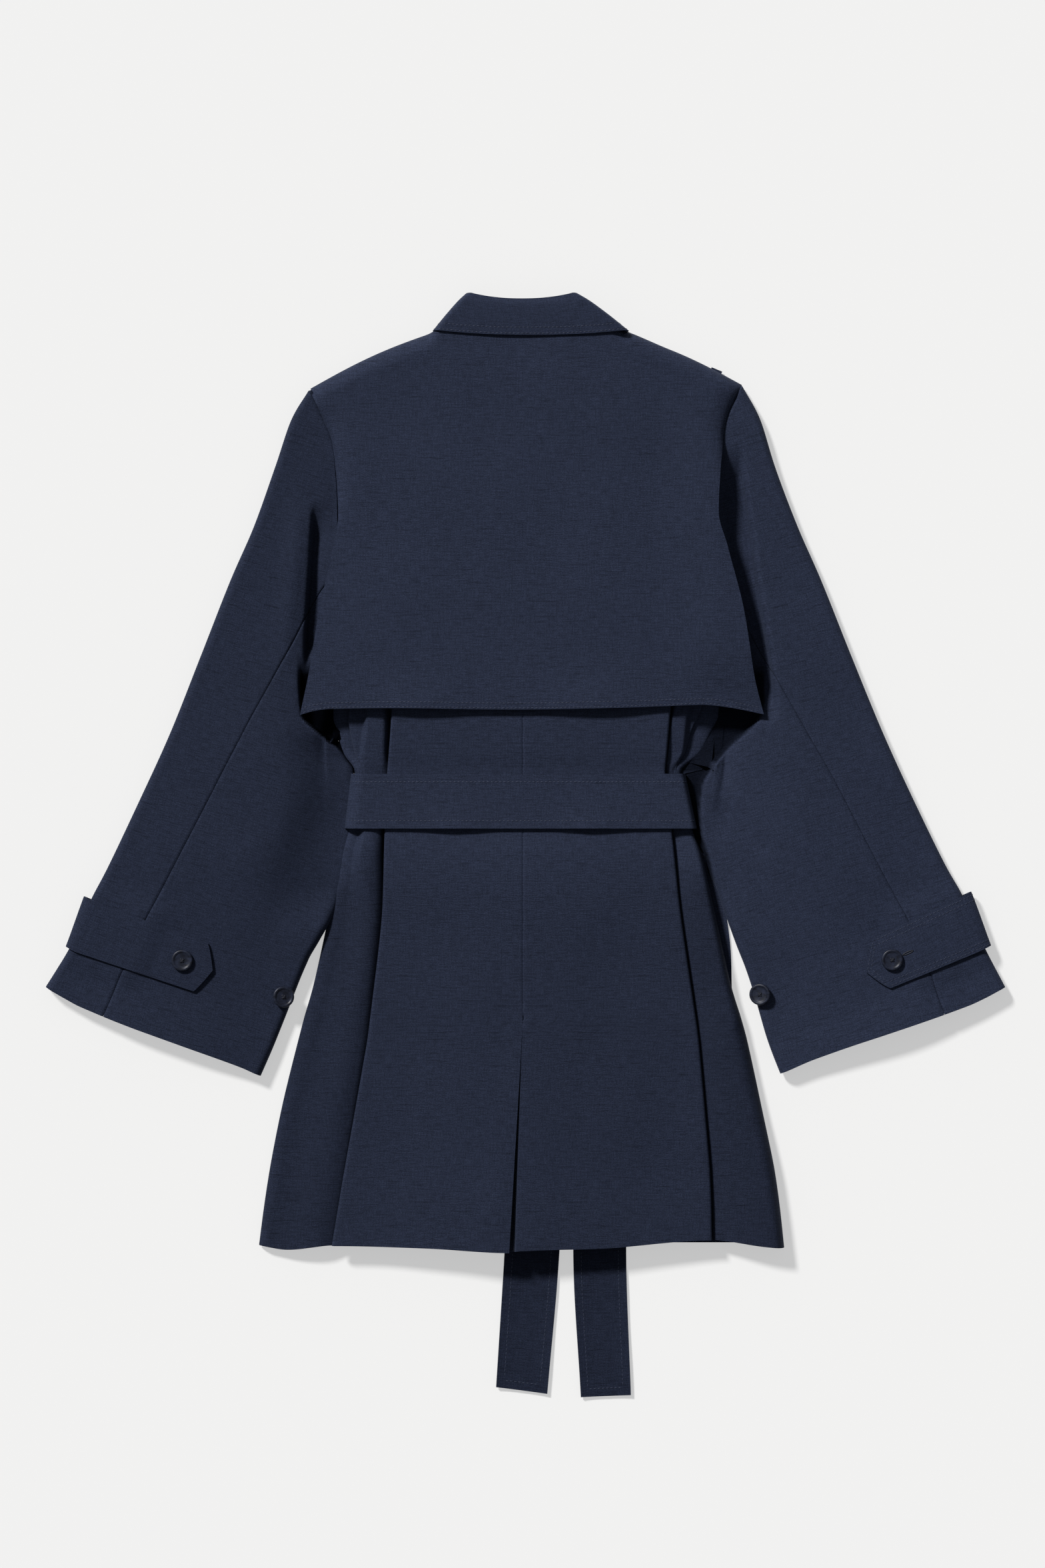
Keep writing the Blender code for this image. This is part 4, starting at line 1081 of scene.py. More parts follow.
    def painted_shade_map(self, grid: Array) -> Array:
        """Painted shade under the pleat's fold and beside it, fading outward over the shade's width; a
        little even painted shade below the belt, where the cloth lies turned from the light, and more beyond
        the pleat.

        Args:
            grid: the middle surface.

        Returns:
            How dark the painted shade is at each point, from 0 to 1.
        """
        turn = self.curl_columns + self.side_columns + self.bend_columns
        upper = turn + 2
        out, y = self.side * grid[..., 0], grid[..., 1]
        fold = out[:, upper:upper + self.bend_columns].max(axis=1, keepdims=True)
        width = through(self.left_shade if self.side == Side.LEFT else self.right_shade, y)
        dark = (1.0 - ease((out - fold) / width)) * ease((self.shade_top - y) / 20.0) * self.shade
        turned = ease((self.painted_shade_below - y) / 50.0)
        dark[:, :self.curl_columns] = 0.0
        dark[:, turn:] = 0.0
        dark[:, :upper] = np.maximum(dark[:, :upper], self.side_painted_shade * turned[:, :upper])
        return np.maximum(dark, self.skirt_painted_shade * turned)

    def places(self, grid: Array) -> Array:
        """Length along each row from the centre seam, and the place along the jacket."""
        u = running_length(grid, 1)
        return np.stack([u - u[:, -1:], grid[..., 1]], axis=-1)


@dataclass
class StormFlap(ClothPiece):
    """The loose flap over the upper back, sewn in at shoulders and armholes."""

    top: float = 445.5
    left_sewn_from: float = 287.0
    left_sewn_over: float = 60.0
    right_sewn_from: float = 341.0
    right_sewn_over: float = 75.0
    sewn_drop: float = 6.0
    right_drop: float = 8.6
    left_relief: float = 0.55
    left_relief_from: float = 402.0
    sewn_reach: float = 16.0
    right_lift: float = 5.0
    right_lift_from: float = 110.0
    waviness: float = 0.35
    sewn_above: tuple[float, ...] = (1.3, 5.6)
    armhole_gap: float = 0.8
    hem_reach: float = 55.0
    rows: tuple[FlapRow, ...] = (
        FlapRow(118, 0.10, 195.2, 206.2, 21, 24.6),
        FlapRow(150, 0.14, 188.6, 198.5, 21, 24.4),
        FlapRow(212, 0.20, 178.6, 189, 20.6, 24.2),
        FlapRow(270, 0.36, 167, 175.5, 20.2, 24),
        FlapRow(310, 0.60, 161.8, 167, 20.2, 23.8),
        FlapRow(352, 0.85, 163, 168.3, 20.2, 23.4),
        FlapRow(400, 0.95, 169.5, 175, 20, 22.6),
        FlapRow(430, 1, 179.5, 184, 19.6, 22),
        FlapRow(440.5, 1, 183.8, 187.2, 19.4, 21.9),
        FlapRow(444.2, 1, 186, 188, 19.4, 21.9),
        FlapRow(445.5, 1, 186.6, 188.3, 19.4, 21.9),
    )
    hem_line: tuple[Point, ...] = ((-195.2, 112.4), (-182, 116), (-169, 117.6), (-118.6, 118.2),
                                   (-12, 117), (70, 118.2), (121, 119.9), (154, 121.1), (176, 118.8),
                                   (206.2, 112.9))
    hem_lift: tuple[Point, ...] = ((-196, 0), (-150, 0.2), (-95, 3.2), (-40, 0.4), (5, 0.2), (65, 3),
                                   (118, 0.4), (160, 0.6), (207, 0))

    def grid(self) -> Array:
        """Sections that fall with the cube of the distance from the middle; sewn edges drop in a quarter
        round, and the lower edge follows its line and lifts in two shallow waves that die out upward.

        Returns:
            The middle surface.
        """
        row = sample(self.rows, even_rows(self.rows, 150))
        across = np.linspace(-1, 1, 176)[None, :]
        held_left = ease((row.y - self.left_sewn_from) / self.left_sewn_over)
        held_right = ease((row.y - self.right_sewn_from) / self.right_sewn_over)
        left = armhole_limit(Side.LEFT, row.y, row.lean, row.left, self.armhole_gap)
        left = row.left + (left - row.left) * held_left
        right = armhole_limit(Side.RIGHT, row.y, row.lean, row.right, self.armhole_gap)
        right = row.right + (right - row.right) * held_right
        x = np.where(across < 0, across * left, across * right)
        sewn = np.where(across < 0, held_left, held_right)
        y = row.y - row.lean * shoulder_drop(x)
        hem = self.rows[0]
        low = hem.y - hem.lean * shoulder_drop(x)
        near = 1.0 - ease((row.y - hem.y) / self.hem_reach)
        y = y + (through(self.hem_line, x) - low) * near
        z = row.mid_z - (row.mid_z - row.side_z) * np.abs(across) ** 3
        z = z + through(self.hem_lift, x) * near ** 2
        edge = np.minimum(left + x, right - x)
        rounded = 1.0 - np.sqrt(1.0 - (1.0 - np.clip(edge / self.sewn_reach, 0.0, 1.0)) ** 2)
        left_drop = self.sewn_drop * (1.0 - self.left_relief * ease((row.y - self.left_relief_from) / 25.0))
        z = z - np.where(across < 0, left_drop, self.right_drop) * rounded * sewn
        lifted = ease((x - self.right_lift_from) / 60.0) * (1.0 - sewn) * ease((row.y - hem.y) / 60.0)
        loose = ease((edge - 4.0) / 30.0) * ease((row.y - 150.0) / 60.0)
        z = z + self.right_lift * lifted + unevenness(x, y, self.waviness) * loose
        return place(1, x, y, shoulder_rolled(x, y, z, self.top))

    def places(self, grid: Array) -> Array:
        """Plain distances across and along: the flap lies nearly flat."""
        return grid[..., :2]

    def traces(self, grid: Array) -> list[Trace]:
        """Rows of stitches 1.3 mm and 5.6 mm above the lower edge.

        Args:
            grid: the middle surface.

        Returns:
            The lines of sewing.
        """
        step = (self.rows[-1].y - self.rows[0].y) / (grid.shape[0] - 1)
        columns = np.linspace(0.6, grid.shape[1] - 1.6, 700)
        return [Trace(np.full(700, inset / step), columns) for inset in self.sewn_above]


@dataclass
class FrontPanel(ClothPiece):
    """One plain front on the surface side, raised over the belt, the tails and the front it laps."""

    side: Side = Side.LEFT
    lap: float = 60.0
    armhole_gap: float = 1.4
    neck_half: float = 14.0
    neck_drop: float = 55.0
    raised_inside: float = 125.0
    lap_inside: float = 86.0
    # Where painted shade lies on the front at the waist, and how much of it on the right.
    shown_from: float = 124.0
    shown_low: float = 52.0
    shown_high: float = 132.0
    right_shade: float = 0.78
    # Right rows from -100 to -30 reach past the back's side: dark cloth set in the shaded gap by the sleeve.
    rows: tuple[FrontRow, ...] = (
        FrontRow(-346, 0, 229.5, 222.6, 0, LAYER),
        FrontRow(-172, 0, 195, 190, 0, LAYER),
        FrontRow(-130, 0, 184, 179.6, 0, LAYER),
        FrontRow(-100, 0, 177, 179, 0, LAYER),
        FrontRow(-60, 0, 168, 174.5, 0, LAYER),
        FrontRow(-30, 0, 162.2, 164.5, 0, LAYER),
        FrontRow(-8, 0, 157, 155, LAYER, 4.2),
        FrontRow(8, 0, 148, 139, LAYER, 4.2),
        FrontRow(59, 0, 141, 127, LAYER, 4.2),
        FrontRow(61.9, 0, 156, 150, LAYER, 4.2),
        FrontRow(86, 0, 166, 163, LAYER, 4.2),
        FrontRow(105, 0, 170, 170, 0, LAYER),
        FrontRow(140, 0, 170, 170, 0, LAYER),
        FrontRow(185, 0.1, 170, 170, 0, LAYER),
        FrontRow(240, 0.3, 170, 170, 0, LAYER),
        FrontRow(310, 0.6, 170, 170, 0, LAYER),
        FrontRow(352, 0.85, 170, 170, 0, LAYER),
        FrontRow(385, 0.92, 175, 175, 0, LAYER),
        FrontRow(412, 0.97, 185, 185, 0, LAYER),
        FrontRow(430, 1, 185, 185, 0, LAYER),
        FrontRow(445.5, 1, 190, 190, 0, LAYER),
    )

    def grid(self) -> Array:
        """Flat sections raised by smooth steps towards the middle; the upper rows fall along neckline and
        shoulder.

        Returns:
            The middle surface.
        """
        row = sample(self.rows, even_rows(self.rows, 130))
        wanted = row.left if self.side == Side.LEFT else row.right
        edge = armhole_limit(self.side, row.y, row.lean, wanted, self.armhole_gap)
        out = edge + (-self.lap - edge) * np.linspace(0, 1, 60)[None, :]
        held = np.maximum(out, self.neck_half)
        neck = shoulder_drop(self.side * held) + self.neck_drop * ease((NECK_HALF - held) / 60.0)
        y = row.y - row.lean * neck
        raised = ease((self.raised_inside - out) / 20.0)
        z = HALF + row.side_lift + (row.mid_lift - row.side_lift) * raised
        if self.side == Side.LEFT:
            z = z + LAYER * ease((self.lap_inside - out) / 24.0)
        return place(self.side, out, y, z)

    def painted_shade_map(self, grid: Array) -> Array:
        """Painted shade where the front shows at the waist, deep between back and sleeve.

        Args:
            grid: the middle surface.

        Returns:
            How dark the painted shade is at each point, from 0 to 1.
        """
        x, y, _ = np.moveaxis(grid, -1, 0)
        dark = ease((np.abs(x) - self.shown_from) / 6.0)
        dark = dark * ease((y - self.shown_low) / 6.0) * ease((self.shown_high - y) / 12.0)
        return dark * (1.0 if self.side == Side.LEFT else self.right_shade)

    def traces(self, grid: Array) -> list[Trace]:
        """A row of stitches 7 mm inside the front edge, on the surface side.

        Args:
            grid: the middle surface.

        Returns:
            The lines of sewing.
        """
        rows = np.linspace(1.0, grid.shape[0] - 2.0, 500)
        wide = np.linalg.norm(grid[:, -1] - grid[:, -2], axis=-1).mean()
        return [Trace(rows, np.full(500, grid.shape[1] - 1 - SEWN_IN / wide), -HALF)]


SLEEVE_ROWS: dict[Side, tuple[SleeveRow, ...]] = {
    Side.LEFT: (
        SleeveRow(188.6, 394, 163.4, 88, 1, 5.6, 2.5, 0, 0, 0.560),
        SleeveRow(202.7, 370.5, 162.9, 65.5, 0.9, 6, 3, 5.5, 0, 0.470),
        SleeveRow(217.2, 328.7, 161.8, 42, 0.6, 6.2, 4, 4.5, 0, 0.418),
        SleeveRow(236, 276, 161.4, 18, 0.35, 6.2, 4.6, 2, 0, 0.388),
        SleeveRow(255.5, 231.3, 162.6, -6, 0.12, 6.2, 4.6, 0.5, 0, 0.367),
        SleeveRow(282, 164, 167.4, -34, 0, 6.2, 4.6, 0, 0, 0.328),
        SleeveRow(309, 96, 173.2, -62, 0, 6.2, 4.6, 0, 0, 0.290),
        SleeveRow(336.4, 36, 180.5, -82, 0, 6, 4.4, 0, 0, 0.275),
        SleeveRow(364, -22, 188.5, -100, 0, 5.8, 4, 0, 0, 0.265),
        SleeveRow(377.3, -47.7, 194.6, -114, 0, 5.6, 3.6, 0, LAYER, 0.262),
        SleeveRow(396, -89.8, 209.9, -153, 0, 5.6, 3.6, 0, LAYER, 0.259),
        SleeveRow(407, -108, 220, -178, -0.1, 5.8, 4.2, 0, 0, 0.269),
        SleeveRow(416.7, -123.4, 230, -200.8, -0.2, 6, 5, 0, 0, 0.279),
    ),
    Side.RIGHT: (
        SleeveRow(188.6, 397.8, 157, 64, 1, 5.6, 2.5, 0, 0, 0.550),
        SleeveRow(203.4, 370.5, 154.8, 44, 0.9, 6, 3, 6, 0, 0.460),
        SleeveRow(216.6, 328.7, 154.4, 24, 0.6, 6.2, 4, 6, 0, 0.415),
        SleeveRow(236.5, 276, 156.4, 4, 0.35, 6.2, 4.6, 3, 0, 0.388),
        SleeveRow(256.1, 231.3, 160.6, -16, 0.12, 6.2, 4.6, 0.8, 0, 0.367),
        SleeveRow(283, 164, 167.5, -42, 0, 6.2, 4.6, 0, 0, 0.328),
        SleeveRow(311, 96, 175.5, -66, 0, 6.2, 4.6, 0, 0, 0.290),
        SleeveRow(338.5, 36, 183.5, -88, 0, 6, 4.4, 0, 0, 0.275),
        SleeveRow(366, -20, 191, -107, 0, 5.8, 4, 0, 0, 0.265),
        SleeveRow(379.6, -44.3, 198, -128, 0, 5.6, 3.6, 0, LAYER, 0.262),
        SleeveRow(399, -89.8, 209.5, -167.6, 0, 5.6, 3.6, 0, LAYER, 0.259),
        SleeveRow(408, -107, 215, -183, -0.1, 5.8, 4.2, 0, 0, 0.269),
        SleeveRow(416.7, -123.6, 221.3, -198.8, -0.2, 6, 5, 0, 0, 0.279),
    ),
}


@dataclass(frozen=True)
class SleeveShape:
    """The flat sleeve of one side: its edges, its folds and the heights of its two layers."""

    side: Side
    hollow_line: tuple[Point, ...]
    hollow_depth: float = 0.92
    hollow_reach: float = 5.0
    # Strength of the painted shade in the hollow.
    hollow_shade: float = 1.0
    hollow_top: float = 122.0
    strap_under: float = 50.0
    armhole_way: Point = (-0.45, -0.89)
    tuck: tuple[float, ...] = ()
    side_line: tuple[Point, ...] = ()
    side_rise: float = 60.0
    side_low: float = 0.35
    creases: tuple[Crease, ...] = ()

    def tucked(self, at: Array) -> Array:
        """How far the sleeve's inner edge goes on under the body, read like the table."""
        return flow(np.arange(len(self.tuck)), self.tuck, at)[:, None]

    def squashed(self, out: Array, y: Array) -> Array:
        """Share of its height that the sleeve keeps: low at the body's side, full further out.

        Args:
            out: distances from the centre line.
            y: places along the jacket.

        Returns:
            The shares.
        """
        if not self.side_line:
            return np.ones(np.shape(out))
        near = 1.0 - ease((out - through(self.side_line, y)) / self.side_rise)
        span = ease((y - self.side_line[0][0]) / 45.0) * ease((self.side_line[-1][0] - y) / 30.0)
        return 1.0 - (1.0 - self.side_low) * near * span

    def rows(self, at: Array) -> SleeveRow:
        """The sleeve's table read at places counted in rows."""
        return sample(SLEEVE_ROWS[self.side], at)

    def edges(self, row: SleeveRow) -> tuple[Array, Array, Array, Array, Array]:
        """Both edges in plan, the way in from each, and the folds' inset.

        Args:
            row: columns of the table.

        Returns:
            Outer edge, inner edge, way in from the outer edge, way in from the inner edge, inset.
        """
        outer = np.concatenate([row.outer, row.outer_y], axis=1)
        inner = np.concatenate([row.inner, row.inner_y], axis=1)
        along_outer = unit(np.gradient(outer, axis=0))
        along_inner = unit(np.gradient(inner, axis=0))
        way_outer = np.stack([along_outer[:, 1], -along_outer[:, 0]], axis=1)
        sewn = np.clip(row.bow, 0.0, 1.0)
        way_outer = unit(way_outer * (1.0 - sewn) + np.array(self.armhole_way) * sewn)
        way_inner = np.stack([-along_inner[:, 1], along_inner[:, 0]], axis=1)
        return outer, inner, way_outer, way_inner, row.edge + HALF

    def length(self, row: SleeveRow) -> Array:
        """Width of the flat sleeve from its outer to its inner edge.

        Args:
            row: columns of the table.

        Returns:
            One width for each row.
        """
        outer, inner, way_outer, way_inner, inset = self.edges(row)
        between = inner + way_inner * inset - outer - way_outer * inset
        return np.linalg.norm(between, axis=1, keepdims=True) + 2 * inset

    def floor(self, row: SleeveRow, reach: Array) -> Array:
        """Height of the lower layer, raised over the strap by a smooth step."""
        return HALF + row.lift * (1.0 - ease((reach - self.strap_under - 6.0) / 20.0))

    def top(self, row: SleeveRow, reach: Array) -> Array:
        """Height of the upper layer: the folds' height, a sine crown, less a hollow towards the body.

        Args:
            row: columns of the table.
            reach: distances from the outer edge.

        Returns:
            The heights.
        """
        start = row.edge + HALF
        share = np.clip((reach - start) / (self.length(row) - 2 * start), 0.0, 1.0)
        crown = row.crown * np.sin(math.pi * share) ** 1.4
        hollow = row.dip * ease((share - 0.22) / 0.25) * (1.0 - ease((share - 0.8) / 0.2))
        return self.floor(row, reach) + 2 * row.edge + crown - hollow

    def bulge(self, share: Array) -> Array:
        """How far the armhole stands in from its chord, at a share of the chord.

        Args:
            share: places along the chord, from 0 to 1.

        Returns:
            The distances.
        """
        points = np.array([(out, y) for y, out in ARMHOLE[self.side]])[::-1]
        chord = points[-1] - points[0]
        along = chord / np.hypot(*chord)
        rest = points - points[0]
        inward = np.array([along[1], -along[0]])
        return flow(rest @ along / np.hypot(*chord), rest @ inward, np.clip(share, 0.0, 1.0))

    def hollow(self, out: Array, y: Array) -> Array:
        """How deep a place lies in the hollow between its line and the body, from 0 to 1.

        Args:
            out: distances from the centre line.
            y: places along the jacket.

        Returns:
            The depths.
        """
        inside = through(self.hollow_line, y) - out
        span = ease((y - self.hollow_line[0][0]) / 14.0) * (1.0 - ease((y - self.hollow_top) / 45.0))
        return ease(inside / self.hollow_reach) * span

    def place(self, row: SleeveRow, reach: Array, z: Array) -> Array:
        """Points from their distance to the outer edge: along the chord, bowed in like the armhole, and
        square to each edge within its fold.

        Args:
            row: columns of the table.
            reach: distances from the outer edge.
            z: heights.

        Returns:
            The points as a grid.
        """
        outer, inner, way_outer, way_inner, inset = self.edges(row)
        length = self.length(row)
        start = outer + way_outer * inset
        chord = inner + way_inner * inset - start
        share = np.clip((reach - inset) / (length - 2 * inset), 0.0, 1.0)
        inward = unit(np.stack([chord[:, 1], -chord[:, 0]], axis=1))
        bulge = row.bow * self.bulge(share)
        flat = start[:, None, :] + chord[:, None, :] * share[..., None]
        flat = flat + inward[:, None, :] * bulge[..., None]
        short = np.minimum(reach - inset, 0.0)[..., None]
        past = np.maximum(reach - length + inset, 0.0)[..., None]
        plan = flat + way_outer[:, None, :] * short - way_inner[:, None, :] * past
        out, y = plan[..., 0], plan[..., 1]
        kept = (1.0 - self.hollow_depth * self.hollow(out, y)) * self.squashed(out, y)
        return place(self.side, out, y, HALF + (z - HALF) * kept)


FLAT_SLEEVE = SleeveShape(Side.LEFT, ((62, 150), (113, 195)))
LEFT_STRAP = StrapEnds(108.5, 122.4, 114.7, 6.0, 2.8, 94.6)


@dataclass
class SleevePart(ClothPiece):
    """One of a sleeve's two pieces: an upper layer, the fold round an edge, and a lower layer."""

    shape: SleeveShape = FLAT_SLEEVE
    outer: bool = True
    steps: int = 14
    slant: float = 16.0
    seam_lap: float = 4.0
    seam_depth: float = 0.8
    waviness: float = 0.45
    underarm_y: float = 130.0
    allowance_wide: float = 7.0
    underarm_wide: float = 20.0
    allowance_rows: tuple[Point, ...] = ((1, 0.12), (0.55, 0.3), (0.2, 0.85))

    def stops(self) -> Array:
        """Places in the sleeve's table, so many steps for each of its rows."""
        count = len(SLEEVE_ROWS[self.shape.side])
        return np.linspace(0, count - 1, self.steps * (count - 1) + 1)

    def table(self) -> SleeveRow:
        """The sleeve's rows at those places."""
        return self.shape.rows(self.stops())

    def places(self, grid: Array) -> Array:
        """Distances square to the sleeve and along it, as it lies.

        Args:
            grid: the middle surface.

        Returns:
            A pair of lengths for each point.
        """
        slant = math.radians(self.slant)
        x, y, z = np.moveaxis(grid, -1, 0)
        out = x * self.shape.side
        u = out * math.cos(slant) + y * math.sin(slant) + (-z if self.outer else z)
        return np.stack([u, y * math.cos(slant) - out * math.sin(slant)], axis=-1)

    def columns(self) -> tuple[int, int, int]:
        """How many columns the upper layer, the fold and the lower layer have."""
        return (84, 13, 12) if self.outer else (104, 13, 16)

    def grid(self) -> Array:
        """From the back seam over the upper layer, round a half circle at the edge, back along the lower
        layer to the lower seam; pressed down at the seam, uneven, creased, with an allowance at the armhole.

        Returns:
            The middle surface.
        """
        shape = self.shape
        row = self.table()
        length = shape.length(row)
        upper, fold, lower = self.columns()
        bend = np.radians(np.linspace(90, -90, fold))[None, :]
        gap = SEAM / 2 * (1.0 + 3.0 * np.clip(row.bow, 0.0, 1.0))
        if self.outer:
            seam = row.seam * length - gap
            turn = row.edge + HALF
            bend_reach = HALF + row.edge * (1 - np.cos(bend))
        else:
            seam = row.seam * length + gap
            tuck = shape.tucked(self.stops())
            turn = length + tuck - row.edge - HALF
            bend_reach = length + tuck - HALF - row.edge * (1 - np.cos(bend))
        above = seam + (turn - seam) * np.linspace(0, 1, upper + 1)[None, :-1] ** 1.1
        below = turn + (seam - self.seam_lap - turn) * np.linspace(0, 1, lower + 1)[None, 1:]
        base = shape.floor(row, 0.0) if self.outer else HALF
        bend_z = base + row.edge * (1 + np.sin(bend))
        above_z = shape.top(row, above) - pressed(np.abs(above - seam), depth=self.seam_depth)
        reach = np.concatenate([above, bend_reach, below], axis=1)
        z = np.concatenate([above_z, bend_z, shape.floor(row, below)], axis=1)
        made = shape.place(row, reach, z)
        turning = np.clip(np.sin(bend[0]), 0, 1) ** 2
        share = np.concatenate([np.ones(upper), turning, np.zeros(lower)])[None, :]
        loose = share * ease((z - 6.0) / 6.0)
        made[..., 2] += unevenness(made[..., 0], made[..., 1], self.waviness) * loose
        return self.allowance(creased(made, shape.creases, share), share)

    def painted_shade_map(self, grid: Array) -> Array:
        """Painted shade in the hollow beside the body, where the cloth goes in under it."""
        deep = np.clip(2.5 * self.shape.hollow(grid[..., 0] * self.shape.side, grid[..., 1]), 0.0, 1.0)
        return deep * self.shape.hollow_shade

    def allowance(self, grid: Array, share: Array) -> Array:
        """The grid with its seam allowance at the armhole: three rows moved square to the armhole, under
        the body, and falling to the surface; longest at the underarm.

        Args:
            grid: the sleeve.
            share: 1 on the upper layer, 0 on the lower one.

        Returns:
            The longer grid.
        """
        along = tangents(grid[:1], 1)[0, :, :2]
        turned = self.shape.side if self.outer else -self.shape.side
        inward = np.stack([-along[:, 1], along[:, 0]], axis=-1) * turned
        underarm = self.underarm_wide * ease((self.underarm_y - grid[0, :, 1]) / 40.0)
        reach = (self.allowance_wide + underarm) * share[0] + 0.6
        made = []
        for part, height in self.allowance_rows:
            row = grid[0].copy()
            row[:, :2] += unit(inward) * (reach * part)[:, None]
            row[:, 2] = HALF + (row[:, 2] - HALF) * (1.0 - (1.0 - height) * share[0])
            made.append(row)
        return np.concatenate([np.stack(made), grid])

    def across(self, grid: Array) -> Array:
        """Straight up on the upper layer, turning with the fold, straight down on the lower layer.

        Args:
            grid: the middle surface.

        Returns:
            Unit directions.
        """
        upper, fold, lower = self.columns()
        bend = np.radians(np.linspace(90, -90, fold))
        up = math.pi / 2
        lean = np.concatenate([np.full(upper, up), bend, np.full(lower, -up)])[None, :]
        way = self.shape.edges(self.table())[2 if self.outer else 3]
        way = np.concatenate([np.repeat(way[:1], len(self.allowance_rows), axis=0), way])
        flat = -way[:, None, :] * np.cos(lean)[..., None]
        return place(self.shape.side, flat[..., 0], flat[..., 1], np.sin(lean))


@dataclass
class CuffStrap(ClothPiece):
    """A pointed strap made from the sleeve's points, moved out, and wrapped round its outer edge."""

    shape: SleeveShape = FLAT_SLEEVE
    ends: StrapEnds = LEFT_STRAP
    first_row: float = 9.0
    last_row: float = 10.0
    bend: float = 10.0
    belly: float = 0.5
    count: int = 25
    sewn_in: tuple[Point, ...] = ((1.6, 1.2), (4, 3.2))

    def height(self, row: SleeveRow, reach: Array) -> Array:
        """Height of the strap: the sleeve's upper layer, a thickness and 1 mm."""
        return self.shape.top(row, reach) + STRAP_RISE

    def grid(self) -> Array:
        """Along the floor, round a bulged half circle off the sleeve's edge, then over it to a point.

        Returns:
            The middle surface.
        """
        across = np.linspace(0, 1, self.count)[:, None]
        row = self.shape.rows(np.linspace(self.first_row, self.last_row, self.count))
        ends = self.ends
        end = np.where(across < 0.5, ends.upper + (ends.tip - ends.upper) * across * 2,
                       ends.tip + (ends.lower - ends.tip) * (across * 2 - 1))
        under = self.shape.strap_under
        below = under + (self.bend - under) * np.linspace(0, 1, 14)[None, :-1] + 0 * across
        low = HALF + 0 * across
        high = self.height(row, self.bend + 0 * across)
        stand = ends.stand_upper + (ends.stand_lower - ends.stand_upper) * across
        turn = np.radians(np.linspace(-90, 90, 25))[None, :]
        turn_reach = self.bend - (self.bend + stand) * np.maximum(np.cos(turn), 0.0) ** 0.75
        turn_z = (low + high) / 2 + (high - low) / 2 * np.sign(turn) * np.abs(np.sin(turn)) ** 0.75
        above = self.bend + (end - self.bend) * np.linspace(0, 1, 57)[None, 1:]
        reach = np.concatenate([below, turn_reach, above], axis=1)
        above_z = self.height(row, above) + self.belly * np.sin(math.pi * across)
        z = np.concatenate([low + 0 * below, turn_z, above_z], axis=1)
        return self.shape.place(row, reach, z)

    def traces(self, grid: Array) -> list[Trace]:
        """Two rows of stitches along each long edge and round the point, on the outer face.

        Args:
            grid: the middle surface.

        Returns:
            The lines of sewing.
        """
        edge, last = grid.shape[0] - 1, grid.shape[1] - 1
        made = []
        for inset, back in self.sewn_in:
            columns = np.linspace(14, last - back, 260)
            made.append(Trace(np.full(260, inset), columns))
            made.append(Trace(np.full(260, edge - inset), columns))
            made.append(Trace(np.linspace(inset, edge - inset, 120), np.full(120, last - back)))
        return made


@dataclass(frozen=True)
class Belt:
    """Sizes of the cloth belt that is tied on the surface side."""

    low: float = 14.0
    high: float = 61.5
    top_z: float = 17.2
    knot_x: float = 48.0
    knot_width: float = 60.0
    knot_height: float = 3.6


